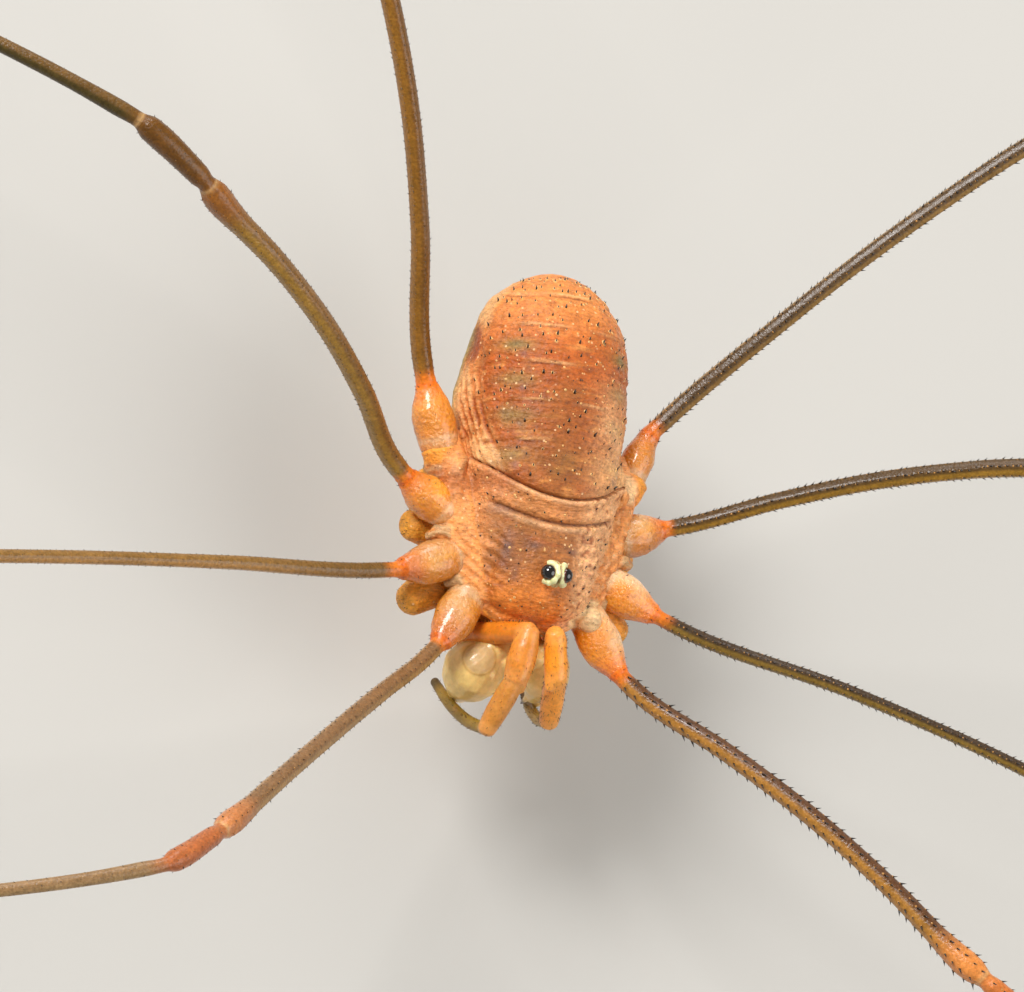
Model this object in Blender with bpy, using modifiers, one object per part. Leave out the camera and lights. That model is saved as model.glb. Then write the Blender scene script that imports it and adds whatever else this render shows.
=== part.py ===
"""A harvestman, Opilio canestrinii male, standing on a level floor with its legs spread.

A still, life-size model in metres: +Z up, the head toward -Y, the animal's own left at +X.
Sizes are in millimetres. Heights and places are measured from the middle of the body at the
level of the leg bases, and one empty lifts the whole animal to its standing height.
"""
import math

import bmesh
import bpy
from mathutils import Matrix, Vector

MM = 0.001
HIP_HEIGHT = 4.0
GAP = 0.08
EYE_GAP = 0.03
TINY = 1e-7

# Trunk: y, half width, top and bottom of the section, and the height where it is widest.
TRUNK_SECTIONS = (
    (-0.80, 0.72, 0.44, -0.26, 0.16),
    (-0.40, 1.00, 0.74, -0.38, 0.20),
    (0.00, 1.10, 0.89, -0.46, 0.20),
    (0.50, 1.24, 0.98, -0.50, 0.18),
    (0.90, 1.36, 1.03, -0.54, 0.14),
    (1.32, 1.44, 1.24, -0.66, 0.10),
    (2.20, 1.51, 1.40, -1.08, -0.02),
    (3.00, 1.59, 1.45, -1.32, -0.16),
    (3.90, 1.52, 1.42, -1.24, -0.02),
    (5.60, 1.42, 1.32, -0.62, 0.24),
)
TRUNK_FRONT = -0.74
TRUNK_REAR = 5.52
FRONT_ROUNDING = 0.30
REAR_ROUNDING = 1.62
FRONT_CAP_RINGS = 3
REAR_CAP_RINGS = 4
FRONT_POLE_STEP = 0.5
REAR_POLE_STEP = 0.6
CARAPACE_RINGS = (-0.40, -0.10, 0.22, 0.52, 0.76, 0.90, 1.04, 1.20)
CARAPACE_FURROW = 0.90
TERGITE_START = 1.38
TERGITE_LENGTH = 0.60
TERGITES = 5
FURROW_DEPTH = 0.045
TRUNK_SIDES = 12

# The fold where the abdomen bulges forward over the rear edge of the carapace.
FOLD_FRONT = 1.34
FOLD_RADIUS = 1.86
FOLD_STEPS = 12
FOLD_FORM_BEHIND = 1.0
FOLD_FORM_HEIGHT = 3.0

# Eye mound
MOUND_CENTRE = (0.0, -0.01, 0.98)
MOUND_HALF_SIZE = (0.27, 0.33, 0.33)
MOUND_MESH = (16, 10)
EYE_CENTRE = (0.20, -0.03, 1.11)
EYE_RADIUS = 0.145
EYE_MESH = (14, 8)
TUBERCLES = 4
TUBERCLE_SIDES = 6
TUBERCLE_SPREAD = 0.115
TUBERCLE_ROOT = 0.23
TUBERCLE_LENGTH = 0.13
TUBERCLE_RINGS = ((0.0, 0.060), (0.6, 0.051), (1.0, 0.024))
TUBERCLE_ARC = (42.0, 138.0)

# Coxae of the left side: each runs from the midline beneath the trunk to its trochanter, and
# the second to fourth have a lobe that swells outward below the trochanters.
COXA_INNER = ((-0.25, 0.15, -0.66), (-0.25, 0.50, -0.78), (-0.25, 0.88, -0.88), (-0.25, 1.28, -1.00))
COXA_MIDDLE = ((0.66, -0.08, -0.66), (0.80, 0.40, -0.76), (1.00, 0.94, -0.86), (1.16, 1.56, -1.00))
COXA_OUTER = ((1.13, -0.33, -0.14), (1.34, 0.32, -0.14), (1.64, 1.03, -0.14), (1.86, 2.14, -0.12))
COXA_RADII = (0.30, 0.37, 0.40, 0.36, 0.33)
COXA_LOBES = (None, (1.80, -0.28, -0.64), (1.94, 0.84, -0.64), (1.80, 1.66, -0.78))
LOBE_RADII = (0.30, 0.36, 0.37, 0.22)
COXA_BEND = 0.12
COXA_RISE_PLACE = 0.6
LOBE_START = 0.7
LOBE_PLACES = (0.3, 0.7, 1.0)
MIDLINE_GAP = 0.08
MIDLINE_BLOCK = 8.0

# Legs: lengths of femur, patella, tibia, metatarsus and tarsus in each pair.
FEMUR_BASE = {
    "right": ((1.72, -1.39, 0.0), (2.61, -0.17, 0.0), (2.61, 1.54, 0.0), (2.29, 3.30, 0.0)),
    "left": ((1.83, -1.43, 0.0), (2.49, -0.24, 0.0), (2.55, 1.36, 0.0), (2.16, 3.07, 0.0)),
}
SEGMENT_LENGTHS = (
    (8.4, 1.55, 6.8, 8.5, 12.0),
    (13.8, 2.0, 12.0, 13.0, 22.0),
    (7.8, 1.7, 6.3, 9.5, 13.0),
    (10.5, 1.8, 8.8, 14.0, 17.0),
)
# Degrees: headings from straight out sideways, positive to the rear, and rises above level,
# for the femur, patella and tibia; then the curl of the tarsus, and in mm the femur's bow
# upward and to the rear.
STANCE = {
    ("right", 1): ((-39.4, 28.2), (-35.7, 20.9), (-12.5, -18.0), 28.0, (0.08, 0.05)),
    ("right", 2): ((-9.5, 11.0), (-9.0, 3.0), (-6.0, -13.0), 46.0, (0.09, 0.10)),
    ("right", 3): ((31.1, 29.8), (31.2, 6.9), (23.3, -17.5), -30.0, (0.53, 0.10)),
    ("right", 4): ((62.5, 26.0), (62.0, 9.0), (55.0, -20.0), -34.0, (0.52, 0.20)),
    ("left", 1): ((-41.7, 24.2), (-37.0, 8.0), (-18.0, -18.0), 34.0, (0.25, 0.18)),
    ("left", 2): ((-23.4, 17.3), (-18.0, 8.0), (-14.0, -19.0), 52.0, (0.19, 0.47)),
    ("left", 3): ((13.6, 27.7), (15.0, 3.0), (17.0, -17.0), -26.0, (0.16, 0.25)),
    ("left", 4): ((44.8, 27.8), (46.0, 8.0), (43.0, -20.0), -40.0, (0.14, 0.25)),
}
BOW_PLACES = (0.25, 0.5, 0.75)
KNEE_ROUNDING = 0.45
KNEE_SHARE = 0.3
SQUARE_END = 0.10
TARSUS_START_HEIGHT = 1.25
TARSUS_STEP = 1.1
TARSUS_STEPS_LEAST = 8
TARSUS_SINK = 0.82
CURL_POWER = 1.3
TAPER_POWER = 1.5
GROUND_WIDTH = 200.0
GROUND_DEPTH = 2.0
TROCHANTER_RADII = (0.24, 0.33, 0.375, 0.36, 0.27)
FEMUR_RADII = (0.25, 0.25, 0.25, 0.26, 0.30)
PATELLA_RADII = (0.27, 0.29, 0.28, 0.26)
TIBIA_RADII = (0.25, 0.25, 0.25, 0.26)
METATARSUS_RADII = (0.25, 0.25, 0.25)
TARSUS_RADIUS = 0.25
TARSUS_TIP_RADIUS = 0.09

# Mouthparts, for the left side; the palps of the two sides are held a little differently.
CHELICERA_BASE = ((0.24, -0.50, -0.50), (0.25, -1.00, -0.46), (0.30, -1.45, -0.36))
CHELICERA_BASE_RADII = (0.18, 0.20, 0.21)
CHELICERA_HAND = (
    (0.41, -1.46, -0.15),
    (0.46, -1.60, -0.36),
    (0.51, -1.68, -0.74),
    (0.53, -1.66, -1.06),
    (0.59, -1.64, -1.32),
)
CHELICERA_HAND_RADII = (0.17, 0.31, 0.39, 0.33, 0.20)
CHELICERA_FINGERS = (
    ((0.58, -1.57, -1.20), (0.57, -1.58, -1.50), (0.62, -1.60, -1.78)),
    ((0.70, -1.68, -1.20), (0.77, -1.72, -1.50), (0.68, -1.68, -1.80)),
)
FINGER_RADII = (0.11, 0.085, 0.03)
PALP_ROOT = (0.70, -0.52, -0.66)
PALP_JOINTS = {
    "right": ((0.95, -0.97, -0.90), (0.27, -1.00, 0.60), (0.345, -1.80, 0.34), (0.60, -2.68, -0.20),
              (1.00, -1.80, -1.58)),
    "left": ((0.95, -1.02, -0.90), (0.25, -1.00, 0.60), (0.42, -1.68, 0.36), (0.75, -2.30, -0.50),
             (0.88, -1.56, -1.82)),
}
PALP_RADII = (
    (0.19, 0.22, 0.20),
    (0.17, 0.21, 0.22, 0.19),
    (0.18, 0.24, 0.26, 0.22),
    (0.17, 0.22, 0.23, 0.17),
    (0.13, 0.13, 0.12, 0.08),
)

PALP_CAP_REACH = 0.6
PALP_CAP_WIDTH = 0.6

LEG_SIDES = 8
LIMB_SIDES = 10
TROCHANTER_SIDES = 12
SHARP_DEGREES = 40.0

# Colours are linear red, green and blue.
FINISHES = {
    "abdomen": ((0.62, 0.17, 0.05), 0.45),
    "carapace": ((0.50, 0.15, 0.05), 0.45),
    "eye_mound": ((0.72, 0.68, 0.38), 0.40),
    "eye": ((0.01, 0.008, 0.006), 0.08),
    "coxa": ((0.72, 0.30, 0.08), 0.40),
    "trochanter": ((0.78, 0.25, 0.06), 0.30),
    "femur": ((0.13, 0.065, 0.025), 0.30),
    "patella": ((0.28, 0.09, 0.03), 0.32),
    "tibia": ((0.16, 0.06, 0.028), 0.32),
    "metatarsus": ((0.12, 0.055, 0.028), 0.35),
    "tarsus": ((0.10, 0.05, 0.028), 0.40),
    "chelicera": ((0.75, 0.40, 0.14), 0.30),
    "pedipalp": ((0.72, 0.28, 0.08), 0.35),
}


def clear_scene():
    for obj in list(bpy.data.objects):
        bpy.data.objects.remove(obj)


def make_collections():
    parts = bpy.data.collections.new("harvestman")
    cutters = bpy.data.collections.new("cutters")
    bpy.context.scene.collection.children.link(parts)
    bpy.context.scene.collection.children.link(cutters)
    return parts, cutters


def make_material(kind):
    colour, roughness = FINISHES[kind]
    material = bpy.data.materials.new(kind + "_cuticle")
    material.use_nodes = True
    shader = material.node_tree.nodes["Principled BSDF"]
    shader.inputs["Base Color"].default_value = (*colour, 1.0)
    shader.inputs["Roughness"].default_value = roughness
    shader.inputs["Metallic"].default_value = 0.0
    return material


def mirrored(point, side):
    """A left-side point in mm, moved to the right side where that is asked for."""
    sign = 1.0 if side == "left" else -1.0
    return Vector((sign * point[0], point[1], point[2]))


def link(obj, collection):
    for old in list(obj.users_collection):
        old.objects.unlink(obj)
    collection.objects.link(obj)
    return obj


def mesh_object(name, mesh, collection):
    obj = bpy.data.objects.new(name, mesh)
    collection.objects.link(obj)
    return obj


def evaluated_mesh(obj):
    depsgraph = bpy.context.evaluated_depsgraph_get()
    return bpy.data.meshes.new_from_object(obj.evaluated_get(depsgraph))


def apply_modifiers(obj):
    mesh = evaluated_mesh(obj)
    obj.modifiers.clear()
    obj.data = mesh
    return obj


def keep_largest(obj):
    """Leave only the closed surface that spreads the widest."""
    shape = bmesh.new()
    shape.from_mesh(obj.data)
    groups = []
    unseen = set(shape.verts)
    while unseen:
        stack = [unseen.pop()]
        group = set(stack)
        while stack:
            vertex = stack.pop()
            for edge in vertex.link_edges:
                other = edge.other_vert(vertex)
                if other in unseen:
                    unseen.remove(other)
                    group.add(other)
                    stack.append(other)
        groups.append(group)

    def spread(group):
        low = Vector(min(v.co[i] for v in group) for i in range(3))
        high = Vector(max(v.co[i] for v in group) for i in range(3))
        return (high - low).length

    largest = max(groups, key=spread)
    loose = [v for v in shape.verts if v not in largest]
    bmesh.ops.delete(shape, geom=loose, context="VERTS")
    shape.to_mesh(obj.data)
    shape.free()
    return obj


def tube(name, points, radii, sides, collection):
    """A bevelled curve through the points, in mm, with its own radius at each."""
    curve = bpy.data.curves.new(name, "CURVE")
    curve.dimensions = "3D"
    curve.bevel_depth = MM
    curve.bevel_resolution = sides // 2 - 2
    curve.use_fill_caps = True
    spline = curve.splines.new("POLY")
    spline.points.add(len(points) - 1)
    for spot, point, radius in zip(spline.points, points, radii):
        spot.co = (*(Vector(point) * MM), 1.0)
        spot.radius = radius
    return mesh_object(name, curve, collection)


def as_mesh(curve_object, collection):
    """The curve's closed mesh, with its caps welded, in place of the curve."""
    name = curve_object.name
    mesh = evaluated_mesh(curve_object)
    shape = bmesh.new()
    shape.from_mesh(mesh)
    bmesh.ops.remove_doubles(shape, verts=shape.verts, dist=TINY)
    bmesh.ops.recalc_face_normals(shape, faces=shape.faces)
    shape.to_mesh(mesh)
    shape.free()
    place = curve_object.matrix_world.copy()
    bpy.data.objects.remove(curve_object)
    obj = mesh_object(name, mesh, collection)
    obj.matrix_world = place
    return obj


def boolean(obj, operation, tools):
    """Join to, or cut with, every object in a collection of tools, which are then removed."""
    group = bpy.data.collections.new("tools")
    bpy.context.scene.collection.children.link(group)
    for tool in tools:
        link(tool, group)
    modifier = obj.modifiers.new("boolean", "BOOLEAN")
    modifier.operation = operation
    modifier.operand_type = "COLLECTION"
    modifier.collection = group
    modifier.solver = "EXACT"
    apply_modifiers(obj)
    for tool in list(group.objects):
        bpy.data.objects.remove(tool)
    bpy.data.collections.remove(group)
    return keep_largest(obj)


def copy_of(obj, name, collection):
    return mesh_object(name, obj.data.copy(), collection)


def finish(obj, name, kind, collection, materials):
    """Name a finished sub-part, give it its material and shade it smooth."""
    obj.name = name
    link(obj, collection)
    obj.data.materials.clear()
    obj.data.materials.append(materials[kind])
    if obj.type == "MESH":
        obj.data.shade_smooth()
        obj.data.set_sharp_from_angle(angle=math.radians(SHARP_DEGREES))
    return obj


def section_at(y):
    """Half width, top, bottom and widest height of the trunk at y, by smooth interpolation."""
    rows = TRUNK_SECTIONS
    y = min(max(y, rows[0][0]), rows[-1][0])
    index = max(i for i in range(len(rows) - 1) if rows[i][0] <= y)
    before = rows[max(index - 1, 0)]
    low = rows[index]
    high = rows[index + 1]
    after = rows[min(index + 2, len(rows) - 1)]
    span = high[0] - low[0]
    t = (y - low[0]) / span
    values = []
    for k in range(1, 5):
        slope_low = (high[k] - before[k]) / (high[0] - before[0]) * span
        slope_high = (after[k] - low[k]) / (after[0] - low[0]) * span
        values.append(
            (2 * t**3 - 3 * t**2 + 1) * low[k]
            + (t**3 - 2 * t**2 + t) * slope_low
            + (3 * t**2 - 2 * t**3) * high[k]
            + (t**3 - t**2) * slope_high
        )
    return values


def end_rounding(y):
    """How far the section has shrunk toward the rounded front and rear of the trunk."""
    front = (TRUNK_FRONT + FRONT_ROUNDING - y) / FRONT_ROUNDING
    rear = (y - TRUNK_REAR + REAR_ROUNDING) / REAR_ROUNDING
    past = max(front, rear, 0.0)
    return math.sqrt(max(1.0 - past * past, 0.0))


def trunk_rings():
    """The y of each ring of the trunk's cage and the depth of the furrow there, front to rear."""
    rings = []
    for i in range(1, FRONT_CAP_RINGS + 1):
        angle = math.radians(90.0 * i / (FRONT_CAP_RINGS + FRONT_POLE_STEP))
        rings.append((TRUNK_FRONT + FRONT_ROUNDING * (1.0 - math.cos(angle)), 0.0))
    for y in CARAPACE_RINGS:
        rings.append((y, FURROW_DEPTH if y == CARAPACE_FURROW else 0.0))
    for i in range(TERGITES):
        start = TERGITE_START + i * TERGITE_LENGTH
        rings.append((start, FURROW_DEPTH))
        rings.append((start + 0.5 * TERGITE_LENGTH, 0.0))
    first = (TERGITE_START + TERGITES * TERGITE_LENGTH - TRUNK_REAR + REAR_ROUNDING) / REAR_ROUNDING
    start_angle = math.asin(first)
    for i in range(REAR_CAP_RINGS):
        share = i / (REAR_CAP_RINGS - 1 + REAR_POLE_STEP)
        angle = start_angle + (0.5 * math.pi - start_angle) * share
        depth = FURROW_DEPTH if i == 0 else 0.0
        rings.append((TRUNK_REAR - REAR_ROUNDING + REAR_ROUNDING * math.sin(angle), depth))
    return rings


def trunk_body(name, grow, collection):
    """The whole trunk without its limbs, grown outward by a distance in mm."""
    rings = trunk_rings()
    bpy.ops.mesh.primitive_uv_sphere_add(segments=TRUNK_SIDES, ring_count=len(rings) + 1)
    obj = link(bpy.context.object, collection)
    obj.name = name
    front_level = section_at(TRUNK_FRONT)[3]
    rear_level = section_at(TRUNK_REAR)[3]
    for vertex in obj.data.vertices:
        latitude = math.acos(max(-1.0, min(1.0, vertex.co.z)))
        step = round(latitude / math.pi * (len(rings) + 1))
        if step == 0:
            vertex.co = Vector((0.0, TRUNK_FRONT - grow, front_level)) * MM
            continue
        if step == len(rings) + 1:
            vertex.co = Vector((0.0, TRUNK_REAR + grow, rear_level)) * MM
            continue
        y, furrow = rings[step - 1]
        width, top, bottom, level = section_at(y)
        shrink = end_rounding(y) * (1.0 - furrow)
        angle = math.atan2(vertex.co.y, vertex.co.x)
        height = top - level if math.sin(angle) > 0.0 else level - bottom
        x = (width * shrink + grow) * math.cos(angle)
        z = level + (height * shrink + grow) * math.sin(angle)
        vertex.co = Vector((x, y, z)) * MM
    shape = bmesh.new()
    shape.from_mesh(obj.data)
    bmesh.ops.recalc_face_normals(shape, faces=shape.faces)
    shape.to_mesh(obj.data)
    shape.free()
    smooth = obj.modifiers.new("smooth", "SUBSURF")
    smooth.levels = 1
    smooth.render_levels = 1
    return apply_modifiers(obj)


def rear_form(name, grow, collection):
    """An upright prism whose curved front is the fold between carapace and abdomen."""
    radius = FOLD_RADIUS + grow
    centre = FOLD_FRONT + FOLD_RADIUS
    back = TRUNK_REAR + FOLD_FORM_BEHIND
    curve = bpy.data.curves.new(name, "CURVE")
    curve.dimensions = "2D"
    curve.fill_mode = "BOTH"
    curve.extrude = FOLD_FORM_HEIGHT * MM
    spline = curve.splines.new("POLY")
    outline = []
    for i in range(FOLD_STEPS + 1):
        angle = math.pi * i / FOLD_STEPS
        outline.append((radius * math.cos(angle), centre - radius * math.sin(angle)))
    outline.append((-radius, back))
    outline.append((radius, back))
    spline.points.add(len(outline) - 1)
    for spot, (x, y) in zip(spline.points, outline):
        spot.co = (x * MM, y * MM, 0.0, 1.0)
    spline.use_cyclic_u = True
    return as_mesh(mesh_object(name, curve, collection), collection)


def build_trunk(parts, cutters, materials):
    """Abdomen and carapace, parted by the curved fold."""
    abdomen = trunk_body("abdomen", 0.0, parts)
    carapace = copy_of(abdomen, "carapace", parts)
    boolean(abdomen, "INTERSECT", [rear_form("fold", 0.0, cutters)])
    boolean(carapace, "DIFFERENCE", [rear_form("fold", GAP, cutters)])
    finish(abdomen, "abdomen", "abdomen", parts, materials)
    finish(carapace, "carapace", "carapace", parts, materials)


def ball(name, centre, half_size, fineness, collection):
    segments, rings = fineness
    bpy.ops.mesh.primitive_uv_sphere_add(segments=segments, ring_count=rings, radius=1.0)
    obj = link(bpy.context.object, collection)
    obj.name = name
    scale = Matrix.Diagonal((*(Vector(half_size) * MM), 1.0))
    obj.data.transform(Matrix.Translation(Vector(centre) * MM) @ scale)
    return obj


def build_eyes(parts, cutters, materials):
    """The eye mound with two rows of blunt tubercles, and an eye in a cup on each side."""
    mound = ball("ocularium", MOUND_CENTRE, MOUND_HALF_SIZE, MOUND_MESH, parts)
    cones = []
    centre = Vector(MOUND_CENTRE)
    for side in ("left", "right"):
        for i in range(TUBERCLES):
            low, high = TUBERCLE_ARC
            angle = math.radians(low + (high - low) * i / (TUBERCLES - 1))
            out = Vector((0.0, -math.cos(angle), math.sin(angle)))
            spot = mirrored((TUBERCLE_SPREAD, 0.0, 0.0), side)
            foot = centre + spot + out * TUBERCLE_ROOT
            points = [foot + out * TUBERCLE_LENGTH * share for share, _ in TUBERCLE_RINGS]
            radii = [radius for _, radius in TUBERCLE_RINGS]
            cone = tube("tubercle", points, radii, TUBERCLE_SIDES, cutters)
            cones.append(as_mesh(cone, cutters))
    boolean(mound, "UNION", cones)
    cups = []
    for side in ("left", "right"):
        place = mirrored(EYE_CENTRE, side)
        size = [EYE_RADIUS + EYE_GAP] * 3
        cups.append(ball("cup", place, size, EYE_MESH, cutters))
    cups.append(trunk_body("shoulder", GAP * 0.5, cutters))
    boolean(mound, "DIFFERENCE", cups)
    finish(mound, "ocularium", "eye_mound", parts, materials)
    for side in ("left", "right"):
        eye = ball("eye_" + side, mirrored(EYE_CENTRE, side), [EYE_RADIUS] * 3, EYE_MESH, parts)
        finish(eye, "eye_" + side, "eye", parts, materials)


def build_coxae(side, parts, cutters, materials):
    """The four coxae of one side, fused beneath the trunk and cut clear of it."""
    pieces = []
    for index in range(4):
        outer = mirrored(COXA_OUTER[index], side)
        inner = mirrored(COXA_INNER[index], side)
        middle = mirrored(COXA_MIDDLE[index], side)
        next_joint = mirrored(FEMUR_BASE[side][index], side)
        way_out = (next_joint - outer).normalized()
        end = outer - way_out * 0.5 * GAP
        rise = middle.lerp(end, COXA_RISE_PLACE) - Vector((0.0, 0.0, 0.5 * COXA_BEND))
        points = [inner, middle, rise, end - way_out * COXA_BEND, end]
        pieces.append(as_mesh(tube("coxa", points, COXA_RADII, LIMB_SIDES, cutters), cutters))
        if COXA_LOBES[index]:
            tip = mirrored(COXA_LOBES[index], side)
            points = [inner.lerp(middle, LOBE_START)]
            points += [middle.lerp(tip, place) for place in LOBE_PLACES]
            pieces.append(as_mesh(tube("lobe", points, LOBE_RADII, LIMB_SIDES, cutters), cutters))
    coxae = pieces[0]
    boolean(coxae, "UNION", pieces[1:])
    sign = 1.0 if side == "left" else -1.0
    bpy.ops.mesh.primitive_cube_add(size=1.0)
    block = link(bpy.context.object, cutters)
    width = MIDLINE_BLOCK
    shift = Matrix.Translation((sign * 0.5 * (MIDLINE_GAP - width) * MM, 0.0, 0.0))
    block.data.transform(shift @ Matrix.Diagonal((width * MM, width * MM, width * MM, 1.0)))
    boolean(coxae, "DIFFERENCE", [block, trunk_body("shoulder", GAP, cutters)])
    finish(coxae, "coxae_" + side, "coxa", parts, materials)


def along(heading, rise, side):
    """A unit direction from a heading off straight sideways and a rise above level."""
    level = math.cos(math.radians(rise))
    out = level * math.cos(math.radians(heading))
    back = level * math.sin(math.radians(heading))
    return mirrored((out, back, math.sin(math.radians(rise))), side)


def corner(before, knee, after):
    """A knee rounded off by a short arc: points into it, its middle, its slope, points out."""
    way_in = (knee - before).normalized()
    way_out = (after - knee).normalized()
    shorter = min((knee - before).length, (after - knee).length)
    reach = min(KNEE_ROUNDING, KNEE_SHARE * shorter)
    start = knee - way_in * reach
    end = knee + way_out * reach
    middle = (start + end + knee * 2.0) * 0.25
    slope = (way_in + way_out).normalized()
    square = slope * (0.5 * GAP + SQUARE_END)
    return [start, middle - square], middle, slope, [middle + square, end]


def graded(points, radii):
    """The radius at each point, read from evenly spaced radii along the whole length."""
    distances = [0.0]
    for a, b in zip(points, points[1:]):
        distances.append(distances[-1] + (b - a).length)
    values = []
    for distance in distances:
        place = distance / distances[-1] * (len(radii) - 1)
        index = min(int(place), len(radii) - 2)
        blend = place - index
        values.append(radii[index] * (1 - blend) + radii[index + 1] * blend)
    return values


def segment(name, start_joint, end_joint, radii, bow, kind, sides, parts, materials):
    """One leg segment between two rounded knees, half a gap short of the middle of each."""
    _, first, first_slope, leaving = start_joint
    entering, last, last_slope, _ = end_joint
    near = leaving[-1] if leaving else first
    far = entering[0] if entering else last
    inner = []
    for fraction in BOW_PLACES:
        inner.append(near.lerp(far, fraction) + bow * math.sin(math.pi * fraction))
    head = first + first_slope * 0.5 * GAP
    tail = last - last_slope * 0.5 * GAP
    points = [head, *leaving, *inner, *entering, tail]
    obj = tube(name, points, graded(points, radii), sides, parts)
    return finish(obj, name, kind, parts, materials)


def tarsus_path(start, heading, pitch, length, curl, side):
    """Points of a tarsus that comes down to the floor and runs along it in a gentle curve."""
    steps = max(int(length / TARSUS_STEP), TARSUS_STEPS_LEAST)
    floor = -HIP_HEIGHT
    drop = start.z - floor - TARSUS_RADIUS * TARSUS_SINK
    landing = 2.0 * drop / math.tan(math.radians(-pitch))
    points = [start]
    place = start.copy()
    for i in range(1, steps + 1):
        travelled = length * i / steps
        turn = heading + curl * (travelled / length) ** CURL_POWER
        left = max(1.0 - travelled / landing, 0.0)
        flat_step = length / steps * math.cos(math.radians(pitch) * left)
        place = place + along(turn, 0.0, side) * flat_step
        radius = tarsus_radius(travelled / length)
        place.z = floor + radius * TARSUS_SINK + drop * left**2
        points.append(place.copy())
    return points


def tarsus_radius(fraction):
    return TARSUS_RADIUS + (TARSUS_TIP_RADIUS - TARSUS_RADIUS) * fraction**TAPER_POWER


def build_leg(side, pair, parts, cutters, materials):
    """Trochanter, femur, patella, tibia, metatarsus and tarsus of one leg."""
    prefix = "leg_" + side + "_" + str(pair) + "_"
    lengths = SEGMENT_LENGTHS[pair - 1]
    femur, patella, tibia, curl, (upward, rearward) = STANCE[(side, pair)]
    hip = mirrored(COXA_OUTER[pair - 1], side)
    knees = [hip, mirrored(FEMUR_BASE[side][pair - 1], side)]
    for length, (heading, rise) in zip(lengths, (femur, patella, tibia)):
        knees.append(knees[-1] + along(heading, rise, side) * length)
    height = knees[-1].z + HIP_HEIGHT - TARSUS_START_HEIGHT
    pitch = -math.degrees(math.asin(height / lengths[3]))
    heading = tibia[0]
    knees.append(knees[-1] + along(heading, pitch, side) * lengths[3])

    joints = [([], hip, (knees[1] - hip).normalized(), [])]
    for i in range(1, 5):
        joints.append(corner(knees[i - 1], knees[i], knees[i + 1]))
    joints.append(([], knees[5], (knees[5] - knees[4]).normalized(), []))
    turn = math.radians(femur[0])
    straight = Vector((0.0, 0.0, 0.0))
    bow = mirrored((-math.sin(turn) * rearward, math.cos(turn) * rearward, upward), side)
    rows = (
        ("trochanter", TROCHANTER_RADII, straight, TROCHANTER_SIDES),
        ("femur", FEMUR_RADII, bow, LEG_SIDES),
        ("patella", PATELLA_RADII, straight, LEG_SIDES),
        ("tibia", TIBIA_RADII, straight, LEG_SIDES),
        ("metatarsus", METATARSUS_RADII, straight, LEG_SIDES),
    )
    for i, (kind, radii, bend, sides) in enumerate(rows):
        segment(prefix + kind, joints[i], joints[i + 1], radii, bend, kind, sides, parts, materials)

    start = knees[5] + joints[5][2] * 0.5 * GAP
    points = tarsus_path(start, heading, pitch, lengths[4], curl, side)
    radii = [tarsus_radius(i / (len(points) - 1)) for i in range(len(points))]
    tarsus = as_mesh(tube("tarsus", points, radii, LEG_SIDES, cutters), cutters)
    bpy.ops.mesh.primitive_cube_add(size=1.0)
    ground = link(bpy.context.object, cutters)
    sink = Matrix.Translation((0.0, 0.0, -(HIP_HEIGHT + 0.5 * GROUND_DEPTH) * MM))
    size = Vector((GROUND_WIDTH, GROUND_WIDTH, GROUND_DEPTH)) * MM
    ground.data.transform(sink @ Matrix.Diagonal((*size, 1.0)))
    boolean(tarsus, "DIFFERENCE", [ground])
    finish(tarsus, prefix + "tarsus", "tarsus", parts, materials)


def build_chelicera(side, parts, cutters, materials):
    """A two-part jaw: the stalk, the swollen hand that hangs from it, and its two fingers."""
    rows = [(CHELICERA_BASE, CHELICERA_BASE_RADII), (CHELICERA_HAND, CHELICERA_HAND_RADII)]
    rows += [(finger, FINGER_RADII) for finger in CHELICERA_FINGERS]
    pieces = []
    for points, radii in rows:
        spots = [mirrored(point, side) for point in points]
        pieces.append(as_mesh(tube("jaw", spots, radii, LIMB_SIDES, cutters), cutters))
    jaw = pieces[0]
    boolean(jaw, "UNION", pieces[1:])
    boolean(jaw, "DIFFERENCE", [trunk_body("shoulder", GAP, cutters)])
    finish(jaw, "chelicera_" + side, "chelicera", parts, materials)


def build_palp(side, parts, cutters, materials):
    """The pedipalp: a short root, femur, patella, tibia and the folded-back tarsus."""
    joints = [mirrored(PALP_ROOT, side)]
    joints += [mirrored(point, side) for point in PALP_JOINTS[side]]
    pieces = []
    for i, radii in enumerate(PALP_RADII):
        start = joints[i]
        end = joints[i + 1]
        points = [start.lerp(end, k / (len(radii) - 1)) for k in range(len(radii))]
        points.append(end + (end - start).normalized() * radii[-1] * PALP_CAP_REACH)
        wide = (*radii, radii[-1] * PALP_CAP_WIDTH)
        pieces.append(as_mesh(tube("palp", points, wide, LIMB_SIDES, cutters), cutters))
    palp = pieces[0]
    boolean(palp, "UNION", pieces[1:])
    boolean(palp, "DIFFERENCE", [trunk_body("shoulder", GAP, cutters)])
    finish(palp, "pedipalp_" + side, "pedipalp", parts, materials)


def set_on_floor(parts):
    """Parent everything to one empty that centres the animal and lifts it to its height."""
    low = Vector((math.inf, math.inf))
    high = Vector((-math.inf, -math.inf))
    for obj in parts.objects:
        mesh = evaluated_mesh(obj)
        for vertex in mesh.vertices:
            for axis in range(2):
                low[axis] = min(low[axis], vertex.co[axis])
                high[axis] = max(high[axis], vertex.co[axis])
        bpy.data.meshes.remove(mesh)
    centre = (low + high) * 0.5
    stand = bpy.data.objects.new("harvestman_stance", None)
    parts.objects.link(stand)
    stand.location = (-centre.x, -centre.y, HIP_HEIGHT * MM)
    for obj in parts.objects:
        if obj is not stand:
            obj.parent = stand


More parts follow.
